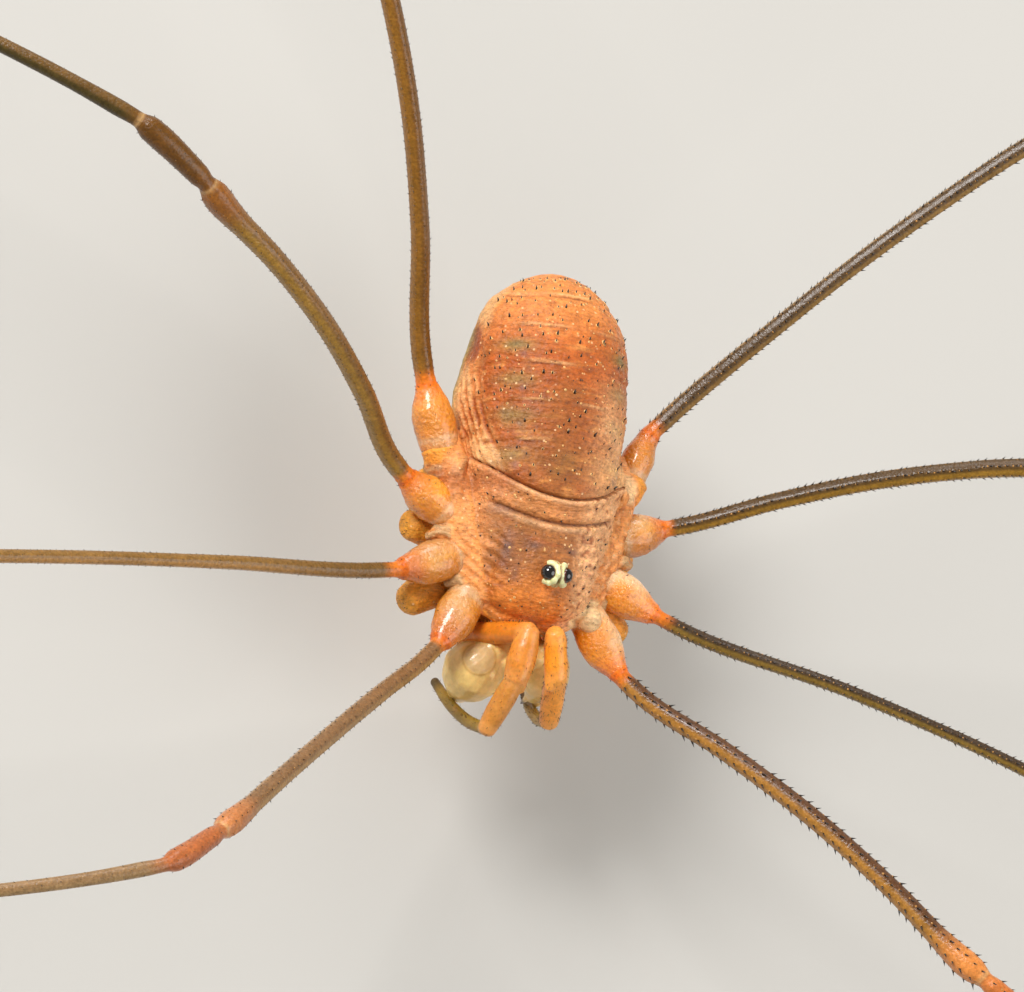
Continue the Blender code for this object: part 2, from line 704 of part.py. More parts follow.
def main():
    clear_scene()
    parts, cutters = make_collections()
    materials = {kind: make_material(kind) for kind in FINISHES}
    build_trunk(parts, cutters, materials)
    build_eyes(parts, cutters, materials)
    for side in ("left", "right"):
        build_coxae(side, parts, cutters, materials)
        build_chelicera(side, parts, cutters, materials)
        build_palp(side, parts, cutters, materials)
        for pair in range(1, 5):
            build_leg(side, pair, parts, cutters, materials)
    bpy.data.collections.remove(cutters)
    set_on_floor(parts)


main()
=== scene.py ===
import itertools
import math
from functools import partial

import bpy
import numpy as np
from mathutils import Matrix, Vector, kdtree


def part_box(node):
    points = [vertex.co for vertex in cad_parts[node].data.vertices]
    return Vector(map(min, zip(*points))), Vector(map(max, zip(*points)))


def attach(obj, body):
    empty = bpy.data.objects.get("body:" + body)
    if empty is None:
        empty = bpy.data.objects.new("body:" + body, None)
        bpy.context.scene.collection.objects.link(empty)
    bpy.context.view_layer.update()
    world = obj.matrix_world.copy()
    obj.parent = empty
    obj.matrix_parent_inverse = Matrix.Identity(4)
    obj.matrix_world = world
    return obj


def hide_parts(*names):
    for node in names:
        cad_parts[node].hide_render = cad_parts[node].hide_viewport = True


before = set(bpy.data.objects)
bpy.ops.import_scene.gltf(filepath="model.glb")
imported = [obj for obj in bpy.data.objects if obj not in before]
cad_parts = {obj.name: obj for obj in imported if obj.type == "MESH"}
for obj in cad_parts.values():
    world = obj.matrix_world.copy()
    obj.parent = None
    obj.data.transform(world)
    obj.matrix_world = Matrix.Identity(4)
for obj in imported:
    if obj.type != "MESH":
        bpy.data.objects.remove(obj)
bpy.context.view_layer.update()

print("frame loaded with", len(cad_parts), "nodes")

mm = 0.001
flips = {"left": np.array((1.0, 1.0, 1.0)), "right": np.array((-1.0, 1.0, 1.0))}  # from the left to each side

# Shapes are worked out in mm round the middle of the body at the leg bases; +X is the animal's
# left, +Y its rear. The eyes of the frame say where that middle stands.
eyeHeight = (0.0, -0.03, 1.11)
eyeCorners = (*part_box("eye_left"), *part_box("eye_right"))
eyeMiddle = sum((Vector(corner) for corner in eyeCorners), Vector()) / 4
bodyMiddle = np.array(eyeMiddle - Vector(eyeHeight) * mm)


def linear(code):  # sRGB hex to linear red, green and blue
    parts = [int(code[i:i + 2], 16) / 255 for i in (1, 3, 5)]
    return np.array([p / 12.92 if p <= 0.04045 else ((p + 0.055) / 1.055) ** 2.4 for p in parts])


def colour(code):
    return (*linear(code), 1.0)


def newObject(name, data):
    obj = bpy.data.objects.new(name, data)
    bpy.context.scene.collection.objects.link(obj)
    return obj


def plug(node, inputs):  # sets or links a node's inputs
    for key, value in inputs.items():
        if isinstance(value, bpy.types.NodeSocket):
            node.id_data.links.new(value, node.inputs[key])
        else:
            node.inputs[key].default_value = value


def addNode(tree, kind, inputs, **settings):  # a node with its settings and links; gives its outputs
    node = tree.nodes.new(kind)
    for key, value in settings.items():
        setattr(node, key, value)
    plug(node, inputs)
    return node.outputs


def newMaterial(name):
    material = bpy.data.materials.new(name)
    material.use_nodes = True
    return material, partial(addNode, material.node_tree), material.node_tree.nodes["Principled BSDF"]


def ramp(low, high, value):  # rises smoothly from 0 at low to 1 at high
    t = np.clip((value - low) / (high - low), 0.0, 1.0)
    return t * t * (3 - 2 * t)


def hump(value, centre, width):  # 1 at the centre, fading to both sides
    return np.exp(-((value - centre) / width) ** 2)


def patch(x, y, px, py, wide, long):  # an oval spot, 1 in its middle
    return np.exp(-((x - px) / wide) ** 2 - ((y - py) / long) ** 2)


def noise(points, size, seed):  # smooth noise from -1 to 1 with features about size mm across
    places = np.asarray(points) / size
    cell = np.floor(places).astype(np.int64)
    part = places - cell
    part = part * part * (3 - 2 * part)
    total = np.zeros(len(places))
    for step in itertools.product((0, 1), repeat=3):
        key = (cell + step) @ np.array((73856093, 19349663, 83492791)) + seed * 7919
        key = ((key & 0xFFFFFFFF) ^ ((key & 0xFFFFFFFF) >> 13)) * 1274126177 & 0xFFFFFFFF
        value = ((key ^ (key >> 16)) & 0xFFFF) / 32767.5 - 1
        total += value * np.prod(np.where(step, part, 1 - part), axis=1)
    return total


def clouds(points, size, seed):  # the same noise with two finer levels added
    return sum(noise(points, size / 2**i, seed + i) / 2**i for i in range(3)) / 1.75


def unit(vectors):
    return vectors / np.maximum(np.linalg.norm(vectors, axis=-1, keepdims=True), 1e-9)


def smoothPath(knots, spacing):  # a smooth curve through the knots, its distances and theirs
    knots = np.asarray(knots, float)
    gaps = np.linalg.norm(np.diff(knots, axis=0), axis=1)
    slopes = np.diff(knots, axis=0) / gaps[:, None]
    inner = (slopes[:-1] * gaps[1:, None] + slopes[1:] * gaps[:-1, None]) / (gaps[1:] + gaps[:-1])[:, None]
    ways = np.vstack([slopes[:1], inner, slopes[-1:]])
    points, marks = [knots[:1]], [0]
    for i, gap in enumerate(gaps):
        t = np.linspace(0, 1, max(math.ceil(gap / spacing), 2) + 1)[1:, None]
        points.append((2 * t**3 - 3 * t**2 + 1) * knots[i] + (t**3 - 2 * t**2 + t) * gap * ways[i]
                      + (3 * t**2 - 2 * t**3) * knots[i + 1] + (t**3 - t**2) * gap * ways[i + 1])
        marks.append(marks[-1] + len(t))
    points = np.vstack(points)
    travel = np.concatenate([[0], np.cumsum(np.linalg.norm(np.diff(points, axis=0), axis=1))])
    return points, travel, travel[marks]


def resample(points, travel, places):
    return np.stack([np.interp(places, travel, points[:, k]) for k in range(3)], axis=1)


def crossFrames(points, carried=False, up=(0.0, 0.0, 1.0)):  # way, across and top at each point of a path
    ways = unit(np.gradient(points, axis=0))
    top = np.empty_like(ways)
    last = np.array(up, float)
    for i, way in enumerate(ways):
        start = last if carried else np.array(up, float)
        last = start - way * (start @ way)
        last = last / np.linalg.norm(last)
        top[i] = last
    return ways, np.cross(top, ways), top


def spokesOf(count, across, top):  # the angles round a tube, and the way out at each
    angles = np.arange(count) * 2 * np.pi / count
    return angles, np.cos(angles)[None, :, None] * across[:, None] + np.sin(angles)[None, :, None] * top[:, None]


def tubeShell(points, radii, around, carried=False, up=(0.0, 0.0, 1.0)):  # closed tube: points and faces
    ways, across, top = crossFrames(points, carried, up)
    angles, spokes = spokesOf(around, across, top)
    wide = np.asarray(radii, float)[:, None] * np.ones(around)
    return gridShell(points[:, None] + spokes * wide[:, :, None], points[0], points[-1])


def gridShell(rings, firstPole, lastPole):  # rings of points closed with a point at each end
    count, around = rings.shape[:2]
    vertices = np.vstack([rings.reshape(-1, 3), [firstPole], [lastPole]])
    i = np.arange(count - 1)[:, None] * around
    j = np.arange(around)[None]
    k = (j + 1) % around
    quads = np.stack([i + j, i + k, i + around + k, i + around + j], axis=-1).reshape(-1, 4)
    low, high = count * around, count * around + 1
    end = (count - 1) * around
    faces = quads.tolist()
    faces += [(int(k[0, n]), int(j[0, n]), low) for n in range(around)]
    faces += [(end + int(j[0, n]), end + int(k[0, n]), high) for n in range(around)]
    return vertices, faces


def tubeBetween(knots, radii, around=20, spacing=0.05, carried=True):  # a tube through a few knots
    points, travel, marks = smoothPath(knots, spacing)
    wide = np.interp(travel, np.linspace(0, travel[-1], len(radii)), radii)
    start = unit(points[0] - points[1])
    finish = unit(points[-1] - points[-2])
    caps = np.array((0.35, 0.7, 0.92))  # both ends are rounded off like a finger's
    reach = np.sqrt(1 - caps**2)
    head = [points[0] + start * wide[0] * 0.7 * c for c in caps[::-1]]
    tail = [points[-1] + finish * wide[-1] * 0.7 * c for c in caps]
    path = np.vstack([head, points, tail])
    wide = np.concatenate([wide[0] * reach[::-1], wide, wide[-1] * reach])
    return tubeShell(path, wide, around, carried)


def ballShell(centre, half, around=24, rings=14):
    latitudes = np.linspace(0, np.pi, rings + 2)[1:-1]
    longitudes = np.arange(around) * 2 * np.pi / around
    x = np.sin(latitudes)[:, None] * np.cos(longitudes)
    y = -np.sin(latitudes)[:, None] * np.sin(longitudes)
    z = np.cos(latitudes)[:, None] * np.ones(around)
    grid = np.stack([x, y, z], axis=-1) * np.array(half) + np.array(centre)
    top, bottom = np.array(centre, float), np.array(centre, float)
    top[2] += half[2]
    bottom[2] -= half[2]
    return gridShell(grid, top, bottom)


def meshOf(name, shells):  # closed shells as one mesh
    vertices, faces, count = [], [], 0
    for points, loops in shells:
        vertices.append(points)
        faces += [[v + count for v in loop] for loop in loops]
        count += len(points)
    mesh = bpy.data.meshes.new(name)
    mesh.from_pydata(np.vstack(vertices).tolist(), [], faces)
    return mesh


def readPoints(mesh, key="co"):  # the points of a mesh, or their normals
    flat = np.empty(len(mesh.vertices) * 3)
    mesh.vertices.foreach_get(key, flat)
    return flat.reshape(-1, 3)


def writePoints(mesh, points):
    mesh.vertices.foreach_set("co", points.ravel())
    mesh.update()


def fusedSkin(name, shells, voxel, relax):  # the shells as one closed skin in mm, its points and normals
    rough = newObject(name, meshOf(name, shells))
    fuse = rough.modifiers.new("fuse", "REMESH")
    fuse.mode = "VOXEL"
    fuse.voxel_size = voxel
    fuse.use_smooth_shade = True
    soften = rough.modifiers.new("soften", "SMOOTH")
    soften.factor = 0.5
    soften.iterations = relax
    skin = bpy.data.meshes.new_from_object(rough.evaluated_get(bpy.context.evaluated_depsgraph_get()))
    bpy.data.objects.remove(rough)
    skin.name = name
    return skin, readPoints(skin), readPoints(skin, "normal")


def coats(palette, base, *layers):  # paints colours over a base, each as much as its amount says
    tint = linear(palette.get(base, base)) if isinstance(base, str) else base
    for code, amount in layers:
        over = linear(palette.get(code, code)) if isinstance(code, str) else code
        tint = tint + (over - tint) * np.clip(amount, 0, 1)[:, None]
    return tint


def mark(mesh, name, values):  # a number, an arrow or a colour at each point of a mesh
    values = np.asarray(values, float)
    kind, key = ("FLOAT", "value") if values.ndim == 1 else ("FLOAT_VECTOR", "vector")
    if name == "tint":
        kind, key = "FLOAT_COLOR", "color"
        values = np.hstack([np.clip(values, 0, 1), np.ones((len(values), 1))])
    mesh.attributes.new(name, kind, "POINT").data.foreach_set(key, values.ravel())


def newPiece(name, mesh, materials, nodes=()):  # a finished piece that stands for its nodes
    obj = newObject(name, mesh)
    mesh.materials.clear()
    for material in materials:
        mesh.materials.append(material)
    mesh.shade_smooth()
    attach(obj, "root")
    if nodes:
        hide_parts(*nodes)


def placed(mesh):  # from mm round the body's middle to metres in the frame
    writePoints(mesh, readPoints(mesh) * mm + bodyMiddle)
    return mesh


# Camera: it looks down on the animal's right shoulder, and its view cuts the legs off.
cameraPlace = {
    "right": (0.893, 0.0585, 0.4451),
    "back": (-0.4226, -0.2216, 0.8794),
    "pixelsPerMm": 57.0,
    "middlePixel": (531.0, 583.0),
    "imageSize": (1024, 992),
    "distance": 0.2,
    "sensor": 36.0,
}


def makeCamera(values):
    back = Vector(values["back"]).normalized()
    right = Vector(values["right"])
    right = (right - back * right.dot(back)).normalized()
    upward = back.cross(right)
    width, height = values["imageSize"]
    perMetre = values["pixelsPerMm"] / mm
    aim = Vector(bodyMiddle) + right * ((width / 2 - values["middlePixel"][0]) / perMetre)
    aim += upward * ((values["middlePixel"][1] - height / 2) / perMetre)
    data = bpy.data.cameras.new("photoCamera")
    data.sensor_width = values["sensor"]
    data.lens = values["sensor"] * values["distance"] * perMetre / width
    data.clip_start, data.clip_end = 0.01, 20.0
    camera = newObject("photoCamera", data)
    turn = Matrix((right, upward, back)).transposed()
    camera.matrix_world = Matrix.Translation(aim + back * values["distance"]) @ turn.to_4x4()
    bpy.context.scene.camera = camera
    return right, upward, back


viewRight, viewUp, viewBack = makeCamera(cameraPlace)
print("camera set")

# Studio: a pale floor, a small soft key light, two wide fill lights and an even room light.
studio = {  # power in W, size in m, and place in m to the right, up and back of the view
    "key": (0.74, 0.11, (-0.07, 0.16, 0.2)), "fill": (0.46, 0.26, (0.25, -0.06, 0.13)),
    "rim": (0.2, 0.12, (0.05, 0.26, 0.05)),
    "room": 0.36, "roomColour": "#f4f2ee",
    "floorColour": "#c6c3bd", "floorShade": "#bfbcb6", "floorSize": 3.0,
}


def makeStudio(values):
    for kind in ("key", "fill", "rim"):
        data = bpy.data.lights.new(kind + "Light", "AREA")
        data.shape = "DISK"
        data.energy, data.size, place = values[kind]
        lamp = newObject(kind + "Light", data)
        target = Vector(bodyMiddle)
        lamp.location = target + viewRight * place[0] + viewUp * place[1] + viewBack * place[2]
        lamp.rotation_mode = "QUATERNION"
        lamp.rotation_quaternion = (target - lamp.location).to_track_quat("-Z", "Y")
    world = bpy.data.worlds.new("studioRoom")
    bpy.context.scene.world = world
    world.use_nodes = True
    plug(world.node_tree.nodes["Background"], {"Color": colour(values["roomColour"]), "Strength": values["room"]})
    bpy.context.scene.view_settings.view_transform = "Standard"

    half = values["floorSize"] / 2
    mesh = bpy.data.meshes.new("studioFloor")
    mesh.from_pydata([(-half, -half, 0), (half, -half, 0), (half, half, 0), (-half, half, 0)], [], [(0, 1, 2, 3)])
    # matt painted board: even and pale, with a very faint mottle
    material, add, shader = newMaterial("mattPaintedBoard")
    mottle = add("ShaderNodeTexNoise", {"Vector": add("ShaderNodeTexCoord", {})["Object"], "Scale": 60.0})["Fac"]
    tones = add("ShaderNodeValToRGB", {"Fac": mottle})["Color"]
    for stop, code in zip(tones.node.color_ramp.elements, (values["floorShade"], values["floorColour"])):
        stop.color = colour(code)
    plug(shader, {"Base Color": tones, "Roughness": 0.9, "Specular IOR Level": 0.2})
    mesh.materials.append(material)
    newObject("studioFloor", mesh)


makeStudio(studio)
print("studio set")

# Materials. Every cuticle reads the colour painted on its own skin and adds finer grain to it.
# Each row: sizes of wrinkles and granules and depth of the bumps in mm; roughness and shine; contrast
# of the wrinkles and of the mottle; glow from inside and its depth in mm; coat; the colour and
# strength of dark speckles and of pale beads; and how the wrinkles are drawn out.
even = (1.0, 1.0, 1.0)
noBeads = ("#f6c890", 0.0)
cuticles = {
    # leathery body cuticle: soft, matt to satin, finely wrinkled across and slightly translucent;
    # the real wrinkles are 0.03 mm apart, drawn coarser to show
    "leatheryBodyCuticle": (0.045, 0.07, 0.034, 0.44, 0.3, 0.24, 0.2, 0.16, 0.1, 0.0,
                            ("#6a2c10", 0.55), ("#f6cc98", 0.7), (0.3, 1.0, 0.6)),
    # swollen trochanter cuticle: thin, glassy and orange, lit through from inside
    "glassyTrochanterCuticle": (0.06, 0.09, 0.05, 0.24, 0.65, 0.1, 0.08, 0.2, 0.14, 0.7,
                                ("#b0501c", 0.25), noBeads, even),
    # hard leg cuticle: brown, polished, with a fine grain that breaks its highlight up
    "polishedLegCuticle": (0.05, 0.055, 0.012, 0.27, 0.32, 0.16, 0.14, 0.12, 0.08, 0.08,
                           ("#2c170b", 0.3), noBeads, even),
    # feeler cuticle: orange, satin, dotted with hair roots
    "satinPalpCuticle": (0.06, 0.075, 0.008, 0.38, 0.4, 0.1, 0.1, 0.4, 0.16, 0.12,
                         ("#8a3c14", 0.34), noBeads, even),
    # jaw cuticle: amber and clear enough to show the pale muscle within
    "amberJawCuticle": (0.14, 0.12, 0.02, 0.4, 0.3, 0.08, 0.06, 0.3, 0.14, 0.35,
                        ("#5a2a14", 0.0), noBeads, even),
    # eye mound cuticle: smooth ivory like old enamel
    "ivoryMoundCuticle": (0.05, 0.06, 0.003, 0.34, 0.35, 0.06, 0.05, 0.2, 0.04, 0.1,
                          ("#8c8750", 0.15), noBeads, even),
}


def cuticle(name):
    (wrinkleMm, granuleMm, depthMm, roughness, shine, contrast, mottling, glow, glowMm,
     coat, speckle, beads, stretch) = cuticles[name]
    material, add, shader = newMaterial(name)
    tint = add("ShaderNodeAttribute", {}, attribute_name="tint")["Color"]
    place = add("ShaderNodeTexCoord", {})["Object"]
    spot = add("ShaderNodeMapping", {"Vector": place, "Scale": [axis / mm for axis in stretch]})["Vector"]
    wrinkle = add("ShaderNodeTexNoise", {
        "Vector": spot, "Scale": 1 / wrinkleMm, "Detail": 3.0, "Roughness": 0.6})["Fac"]
    grain = add("ShaderNodeTexVoronoi", {"Vector": place, "Scale": 1 / (granuleMm * mm)})["Distance"]
    cloud = add("ShaderNodeTexNoise", {"Vector": place, "Scale": 1 / (0.35 * mm), "Detail": 4.0})["Fac"]
    mottle = add("ShaderNodeTexNoise", {
        "Vector": place, "Scale": 1 / (0.1 * mm), "Detail": 2.0, "Roughness": 0.7})["Fac"]
    # lighter and darker along the wrinkles, in wide clouds and in a fine mottle
    for value, swing in ((wrinkle, contrast), (cloud, 0.1), (mottle, mottling)):
        shade = add("ShaderNodeMapRange", {
            "Value": value, "From Min": 0.3, "From Max": 0.7, "To Min": 1 - swing, "To Max": 1 + swing})["Result"]
        tint = add("ShaderNodeVectorMath", {0: tint, "Scale": shade}, operation="SCALE")["Vector"]
    dots = add("ShaderNodeMapRange", {
        "Value": grain, "From Min": 0.1, "From Max": 0.22, "To Min": speckle[1], "To Max": 0.0})["Result"]
    tint = add("ShaderNodeMix", {0: dots, 6: tint, 7: colour(speckle[0])}, data_type="RGBA")[2]
    # pale bead-like granules, about 0.02 mm wide in life and drawn twice that, in some cells only
    cells = add("ShaderNodeTexVoronoi", {"Vector": place, "Scale": 1 / (0.13 * mm)})
    bead = add("ShaderNodeMapRange", {
        "Value": cells["Distance"], "From Min": 0.13, "From Max": 0.2, "To Min": beads[1], "To Max": 0.0})["Result"]
    red = add("ShaderNodeSeparateColor", {"Color": cells["Color"]})["Red"]
    chosen = add("ShaderNodeMapRange", {"Value": red, "From Min": 0.55, "From Max": 0.75})["Result"]
    kept = add("ShaderNodeMath", {0: bead, 1: chosen}, operation="MULTIPLY")["Value"]
    tint = add("ShaderNodeMix", {0: kept, 6: tint, 7: colour(beads[0])}, data_type="RGBA")[2]
    height = add("ShaderNodeMath", {0: grain, 1: -0.5, 2: wrinkle}, operation="MULTIPLY_ADD")["Value"]
    bump = add("ShaderNodeBump", {"Strength": 0.8, "Distance": depthMm * mm, "Height": height})["Normal"]
    worn = add("ShaderNodeMapRange", {
        "Value": cloud, "From Min": 0.3, "From Max": 0.7,
        "To Min": roughness - 0.07, "To Max": roughness + 0.08})["Result"]
    plug(shader, {
        "Base Color": tint, "Normal": bump, "Roughness": worn,
        "IOR": 1.55,  # insect and spider cuticle
        "Specular IOR Level": shine, "Subsurface Weight": glow, "Subsurface Radius": (1.0, 0.45, 0.18),
        "Subsurface Scale": glowMm * mm, "Coat Weight": coat, "Coat Roughness": 0.12})
    return material


bodyCuticle, bulbCuticle, legCuticle, palpCuticle, jawCuticle, moundCuticle = map(cuticle, cuticles)


def plainChitin(name, code, roughness, coat):  # for teeth, hairs and claws
    material, add, shader = newMaterial(name)
    place = add("ShaderNodeTexCoord", {})["Object"]
    cloud = add("ShaderNodeTexNoise", {"Vector": place, "Scale": 1 / (0.03 * mm), "Detail": 2.0})["Fac"]
    tint = add("ShaderNodeMix", {
        0: cloud, 6: (*(linear(code) * 0.65), 1.0), 7: (*np.minimum(linear(code) * 1.35, 1.0), 1.0)},
        data_type="RGBA")[2]
    bump = add("ShaderNodeBump", {"Strength": 0.4, "Distance": 0.002 * mm, "Height": cloud})["Normal"]
    plug(shader, {"Base Color": tint, "Normal": bump, "Roughness": roughness, "Coat Weight": coat})
    return material


# black tanned chitin: the hardest parts, glossy and nearly black
blackChitin = plainChitin("blackTannedChitin", "#1c120c", 0.28, 0.4)
# pale socket chitin: the soft collar that each tooth stands in
paleChitin = plainChitin("paleSocketChitin", "#e9b06c", 0.45, 0.0)
# tan socket chitin: the same collars on the brown legs
tanChitin = plainChitin("tanSocketChitin", "#b8823e", 0.4, 0.1)
# hair chitin: fine brown bristles
hairChitin = plainChitin("brownHairChitin", "#3a2213", 0.45, 0.0)

# eye cornea: dark brown under a clear wet-looking lens
eyeCornea, add, shader = newMaterial("wetEyeCornea")
plug(shader, {
    "Base Color": add("ShaderNodeAttribute", {}, attribute_name="tint")["Color"], "Roughness": 0.06,
    "Specular IOR Level": 0.6, "Coat Weight": 0.6, "Coat Roughness": 0.02})
print("materials made")


# Spines and hairs come from three trees of Geometry Nodes.
def newTree(name, first, values):  # a tree with named inputs: geometry, numbers and a material
    tree = bpy.data.node_groups.new(name, "GeometryNodeTree")
    sockets = {}
    for key, value in ((first, "Geometry"), *values.items(), ("Finish", "Material")):
        kind = value if isinstance(value, str) else type(value).__name__.capitalize()
        socket = tree.interface.new_socket(name=key, in_out="INPUT", socket_type="NodeSocket" + kind)
        if kind != value:
            socket.default_value = value
        sockets[key] = socket.identifier
    tree.interface.new_socket(name="Geometry", in_out="OUTPUT", socket_type="NodeSocketGeometry")
    add = partial(addNode, tree)
    return add, add("NodeGroupInput", {}), (tree, sockets)


def standShapes(add, given, points, one, way, scale):  # one shape on each point, turned to its way
    turn = add("FunctionNodeAlignRotationToVector", {"Vector": way}, axis="Z")["Rotation"]
    grown = add("GeometryNodeInstanceOnPoints", {
        "Points": points, "Instance": one, "Rotation": turn, "Scale": scale})["Instances"]
    real = add("GeometryNodeRealizeInstances", {"Geometry": grown})["Geometry"]
    soft = add("GeometryNodeSetShadeSmooth", {"Geometry": real})["Geometry"]
    dressed = add("GeometryNodeSetMaterial", {"Geometry": soft, "Material": given["Finish"]})["Geometry"]
    add("NodeGroupOutput", {"Geometry": dressed})


def spineTree(name, shape):  # one spine or one round socket at each point, along the point's own way
    add, given, tree = newTree(name, "Points", {
        "Length": 0.0001, "Base radius": 0.00002, "Unevenness": 0.25, "Seed": 7})
    if shape == "cone":
        one = add("GeometryNodeMeshCone", {
            "Vertices": 5, "Radius Top": 0.0, "Radius Bottom": given["Base radius"],
            "Depth": given["Length"]})["Mesh"]
    else:
        ball = add("GeometryNodeMeshIcoSphere", {"Radius": given["Base radius"], "Subdivisions": 1})["Mesh"]
        flat = add("ShaderNodeMath", {0: given["Length"], 1: given["Base radius"]}, operation="DIVIDE")["Value"]
        size = add("ShaderNodeCombineXYZ", {"X": 1.0, "Y": 1.0, "Z": flat})["Vector"]
        one = add("GeometryNodeTransform", {"Geometry": ball, "Scale": size})["Geometry"]
    way = add("GeometryNodeInputNamedAttribute", {"Name": "way"}, data_type="FLOAT_VECTOR")["Attribute"]
    size = add("GeometryNodeInputNamedAttribute", {"Name": "size"}, data_type="FLOAT")["Attribute"]
    low, high = (add("ShaderNodeMath", {0: 1.0, 1: given["Unevenness"]}, operation=kind)["Value"]
                 for kind in ("SUBTRACT", "ADD"))
    chance = add("FunctionNodeRandomValue", {2: low, 3: high, "Seed": given["Seed"]}, data_type="FLOAT")[1]
    scale = add("ShaderNodeMath", {0: size, 1: chance}, operation="MULTIPLY")["Value"]
    standShapes(add, given, given["Points"], one, way, scale)
    return tree


def hairTree(name):  # hairs scattered over a skin, leaning along the skin's own way
    add, given, tree = newTree(name, "Skin", {
        "Hairs per square metre": 3.0e7, "Length": 0.0001, "Base radius": 0.000006, "Lean": 0.9, "Seed": 11})
    thick = add("GeometryNodeInputNamedAttribute", {"Name": "hair"}, data_type="FLOAT")["Attribute"]
    way = add("GeometryNodeInputNamedAttribute", {"Name": "way"}, data_type="FLOAT_VECTOR")["Attribute"]
    density = add("ShaderNodeMath", {0: thick, 1: given["Hairs per square metre"]}, operation="MULTIPLY")["Value"]
    roots = add("GeometryNodeDistributePointsOnFaces", {
        "Mesh": given["Skin"], "Density": density, "Seed": given["Seed"]}, distribute_method="RANDOM")
    lean = add("ShaderNodeVectorMath", {0: way, "Scale": given["Lean"]}, operation="SCALE")["Vector"]
    toward = add("ShaderNodeVectorMath", {0: roots["Normal"], 1: lean}, operation="ADD")["Vector"]
    one = add("GeometryNodeMeshCone", {
        "Vertices": 3, "Radius Top": 0.0, "Radius Bottom": given["Base radius"],
        "Depth": given["Length"]})["Mesh"]
    chance = add("FunctionNodeRandomValue", {2: 0.6, 3: 1.2, "Seed": given["Seed"]}, data_type="FLOAT")[1]
    standShapes(add, given, roots["Points"], one, toward, chance)
    return tree


coneTree = spineTree("toothOnEachPoint", "cone")
collarTree = spineTree("collarOnEachPoint", "ball")
bristleTree = hairTree("hairsOverSkin")


def grow(name, mesh, made, values):  # runs a tree once and keeps its plain mesh
    seedObject = newObject(name + "Roots", mesh)
    modifier = seedObject.modifiers.new("grow", "NODES")
    modifier.node_group, sockets = made
    for key, value in values.items():
        modifier[sockets[key]] = value
    grown = bpy.data.meshes.new_from_object(seedObject.evaluated_get(bpy.context.evaluated_depsgraph_get()))
    seedObject.modifiers.clear()
    bpy.data.objects.remove(seedObject)
    grown.name = name
    print(name, len(grown.polygons), "faces")
    newPiece(name, grown, [values["Finish"]])


# What stands on points: its tree, length and base radius in mm, unevenness, seed, finish and slot.
growth = {
    "blackTeeth": (coneTree, 0.1, 0.02, 0.15, 3, blackChitin, "femur_cuticle"),
    "backSpicules": (coneTree, 0.07, 0.023, 0.25, 8, blackChitin, "abdomen_cuticle"),
    "paleCollars": (collarTree, 0.016, 0.03, 0.15, 4, paleChitin, "femur_cuticle"),
    "tanCollars": (collarTree, 0.012, 0.021, 0.15, 5, tanChitin, "femur_cuticle"),
    "legHairs": (coneTree, 0.16, 0.008, 0.25, 6, hairChitin, "tarsus_cuticle"),
}
roots = {name: [] for name in growth}  # place, way and size of each one


def plant(kind, place, way, size):
    roots[kind].append((place, way, size))


# Trunk: y, half width, top, bottom and widest height of each section.
trunk = {
    "sections": np.array((
        (-0.8, 0.72, 0.44, -0.26, 0.16), (-0.4, 1.0, 0.74, -0.38, 0.2), (0.0, 1.1, 0.89, -0.46, 0.2),
        (0.5, 1.24, 0.98, -0.5, 0.18), (0.9, 1.36, 1.03, -0.54, 0.14), (1.32, 1.44, 1.24, -0.66, 0.1),
        (2.2, 1.51, 1.4, -1.08, -0.02), (3.0, 1.59, 1.45, -1.32, -0.16), (3.9, 1.52, 1.42, -1.24, -0.02),
        (5.6, 1.42, 1.32, -0.62, 0.24))),
    "front": -0.74, "rear": 5.52, "frontRounding": 0.3, "rearRounding": 1.62,
    "tightness": 0.967,
    "foldFront": 1.34, "foldRadius": 1.86,
    "voxel": 0.0342,
}


def sectionAt(y):
    rows = trunk["sections"]
    y = np.clip(y, rows[0, 0], rows[-1, 0])
    i = np.clip(np.searchsorted(rows[:, 0], y, side="right") - 1, 0, len(rows) - 2)
    before, low, high = rows[np.maximum(i - 1, 0)], rows[i], rows[i + 1]
    after = rows[np.minimum(i + 2, len(rows) - 1)]
    span = high[:, :1] - low[:, :1]
    t = (y[:, None] - low[:, :1]) / span
    slopeLow = (high - before) / (high[:, :1] - before[:, :1]) * span
    slopeHigh = (after - low) / (after[:, :1] - low[:, :1]) * span
    values = ((2 * t**3 - 3 * t**2 + 1) * low + (t**3 - 2 * t**2 + t) * slopeLow
              + (3 * t**2 - 2 * t**3) * high + (t**3 - t**2) * slopeHigh)
    front = (trunk["front"] + trunk["frontRounding"] - y) / trunk["frontRounding"]
    rear = (y - trunk["rear"] + trunk["rearRounding"]) / trunk["rearRounding"]
    past = np.clip(np.maximum(front, rear), 0.0, 1.0)
    return values[:, 1], values[:, 2], values[:, 3], values[:, 4], np.sqrt(1 - past**2) * trunk["tightness"]


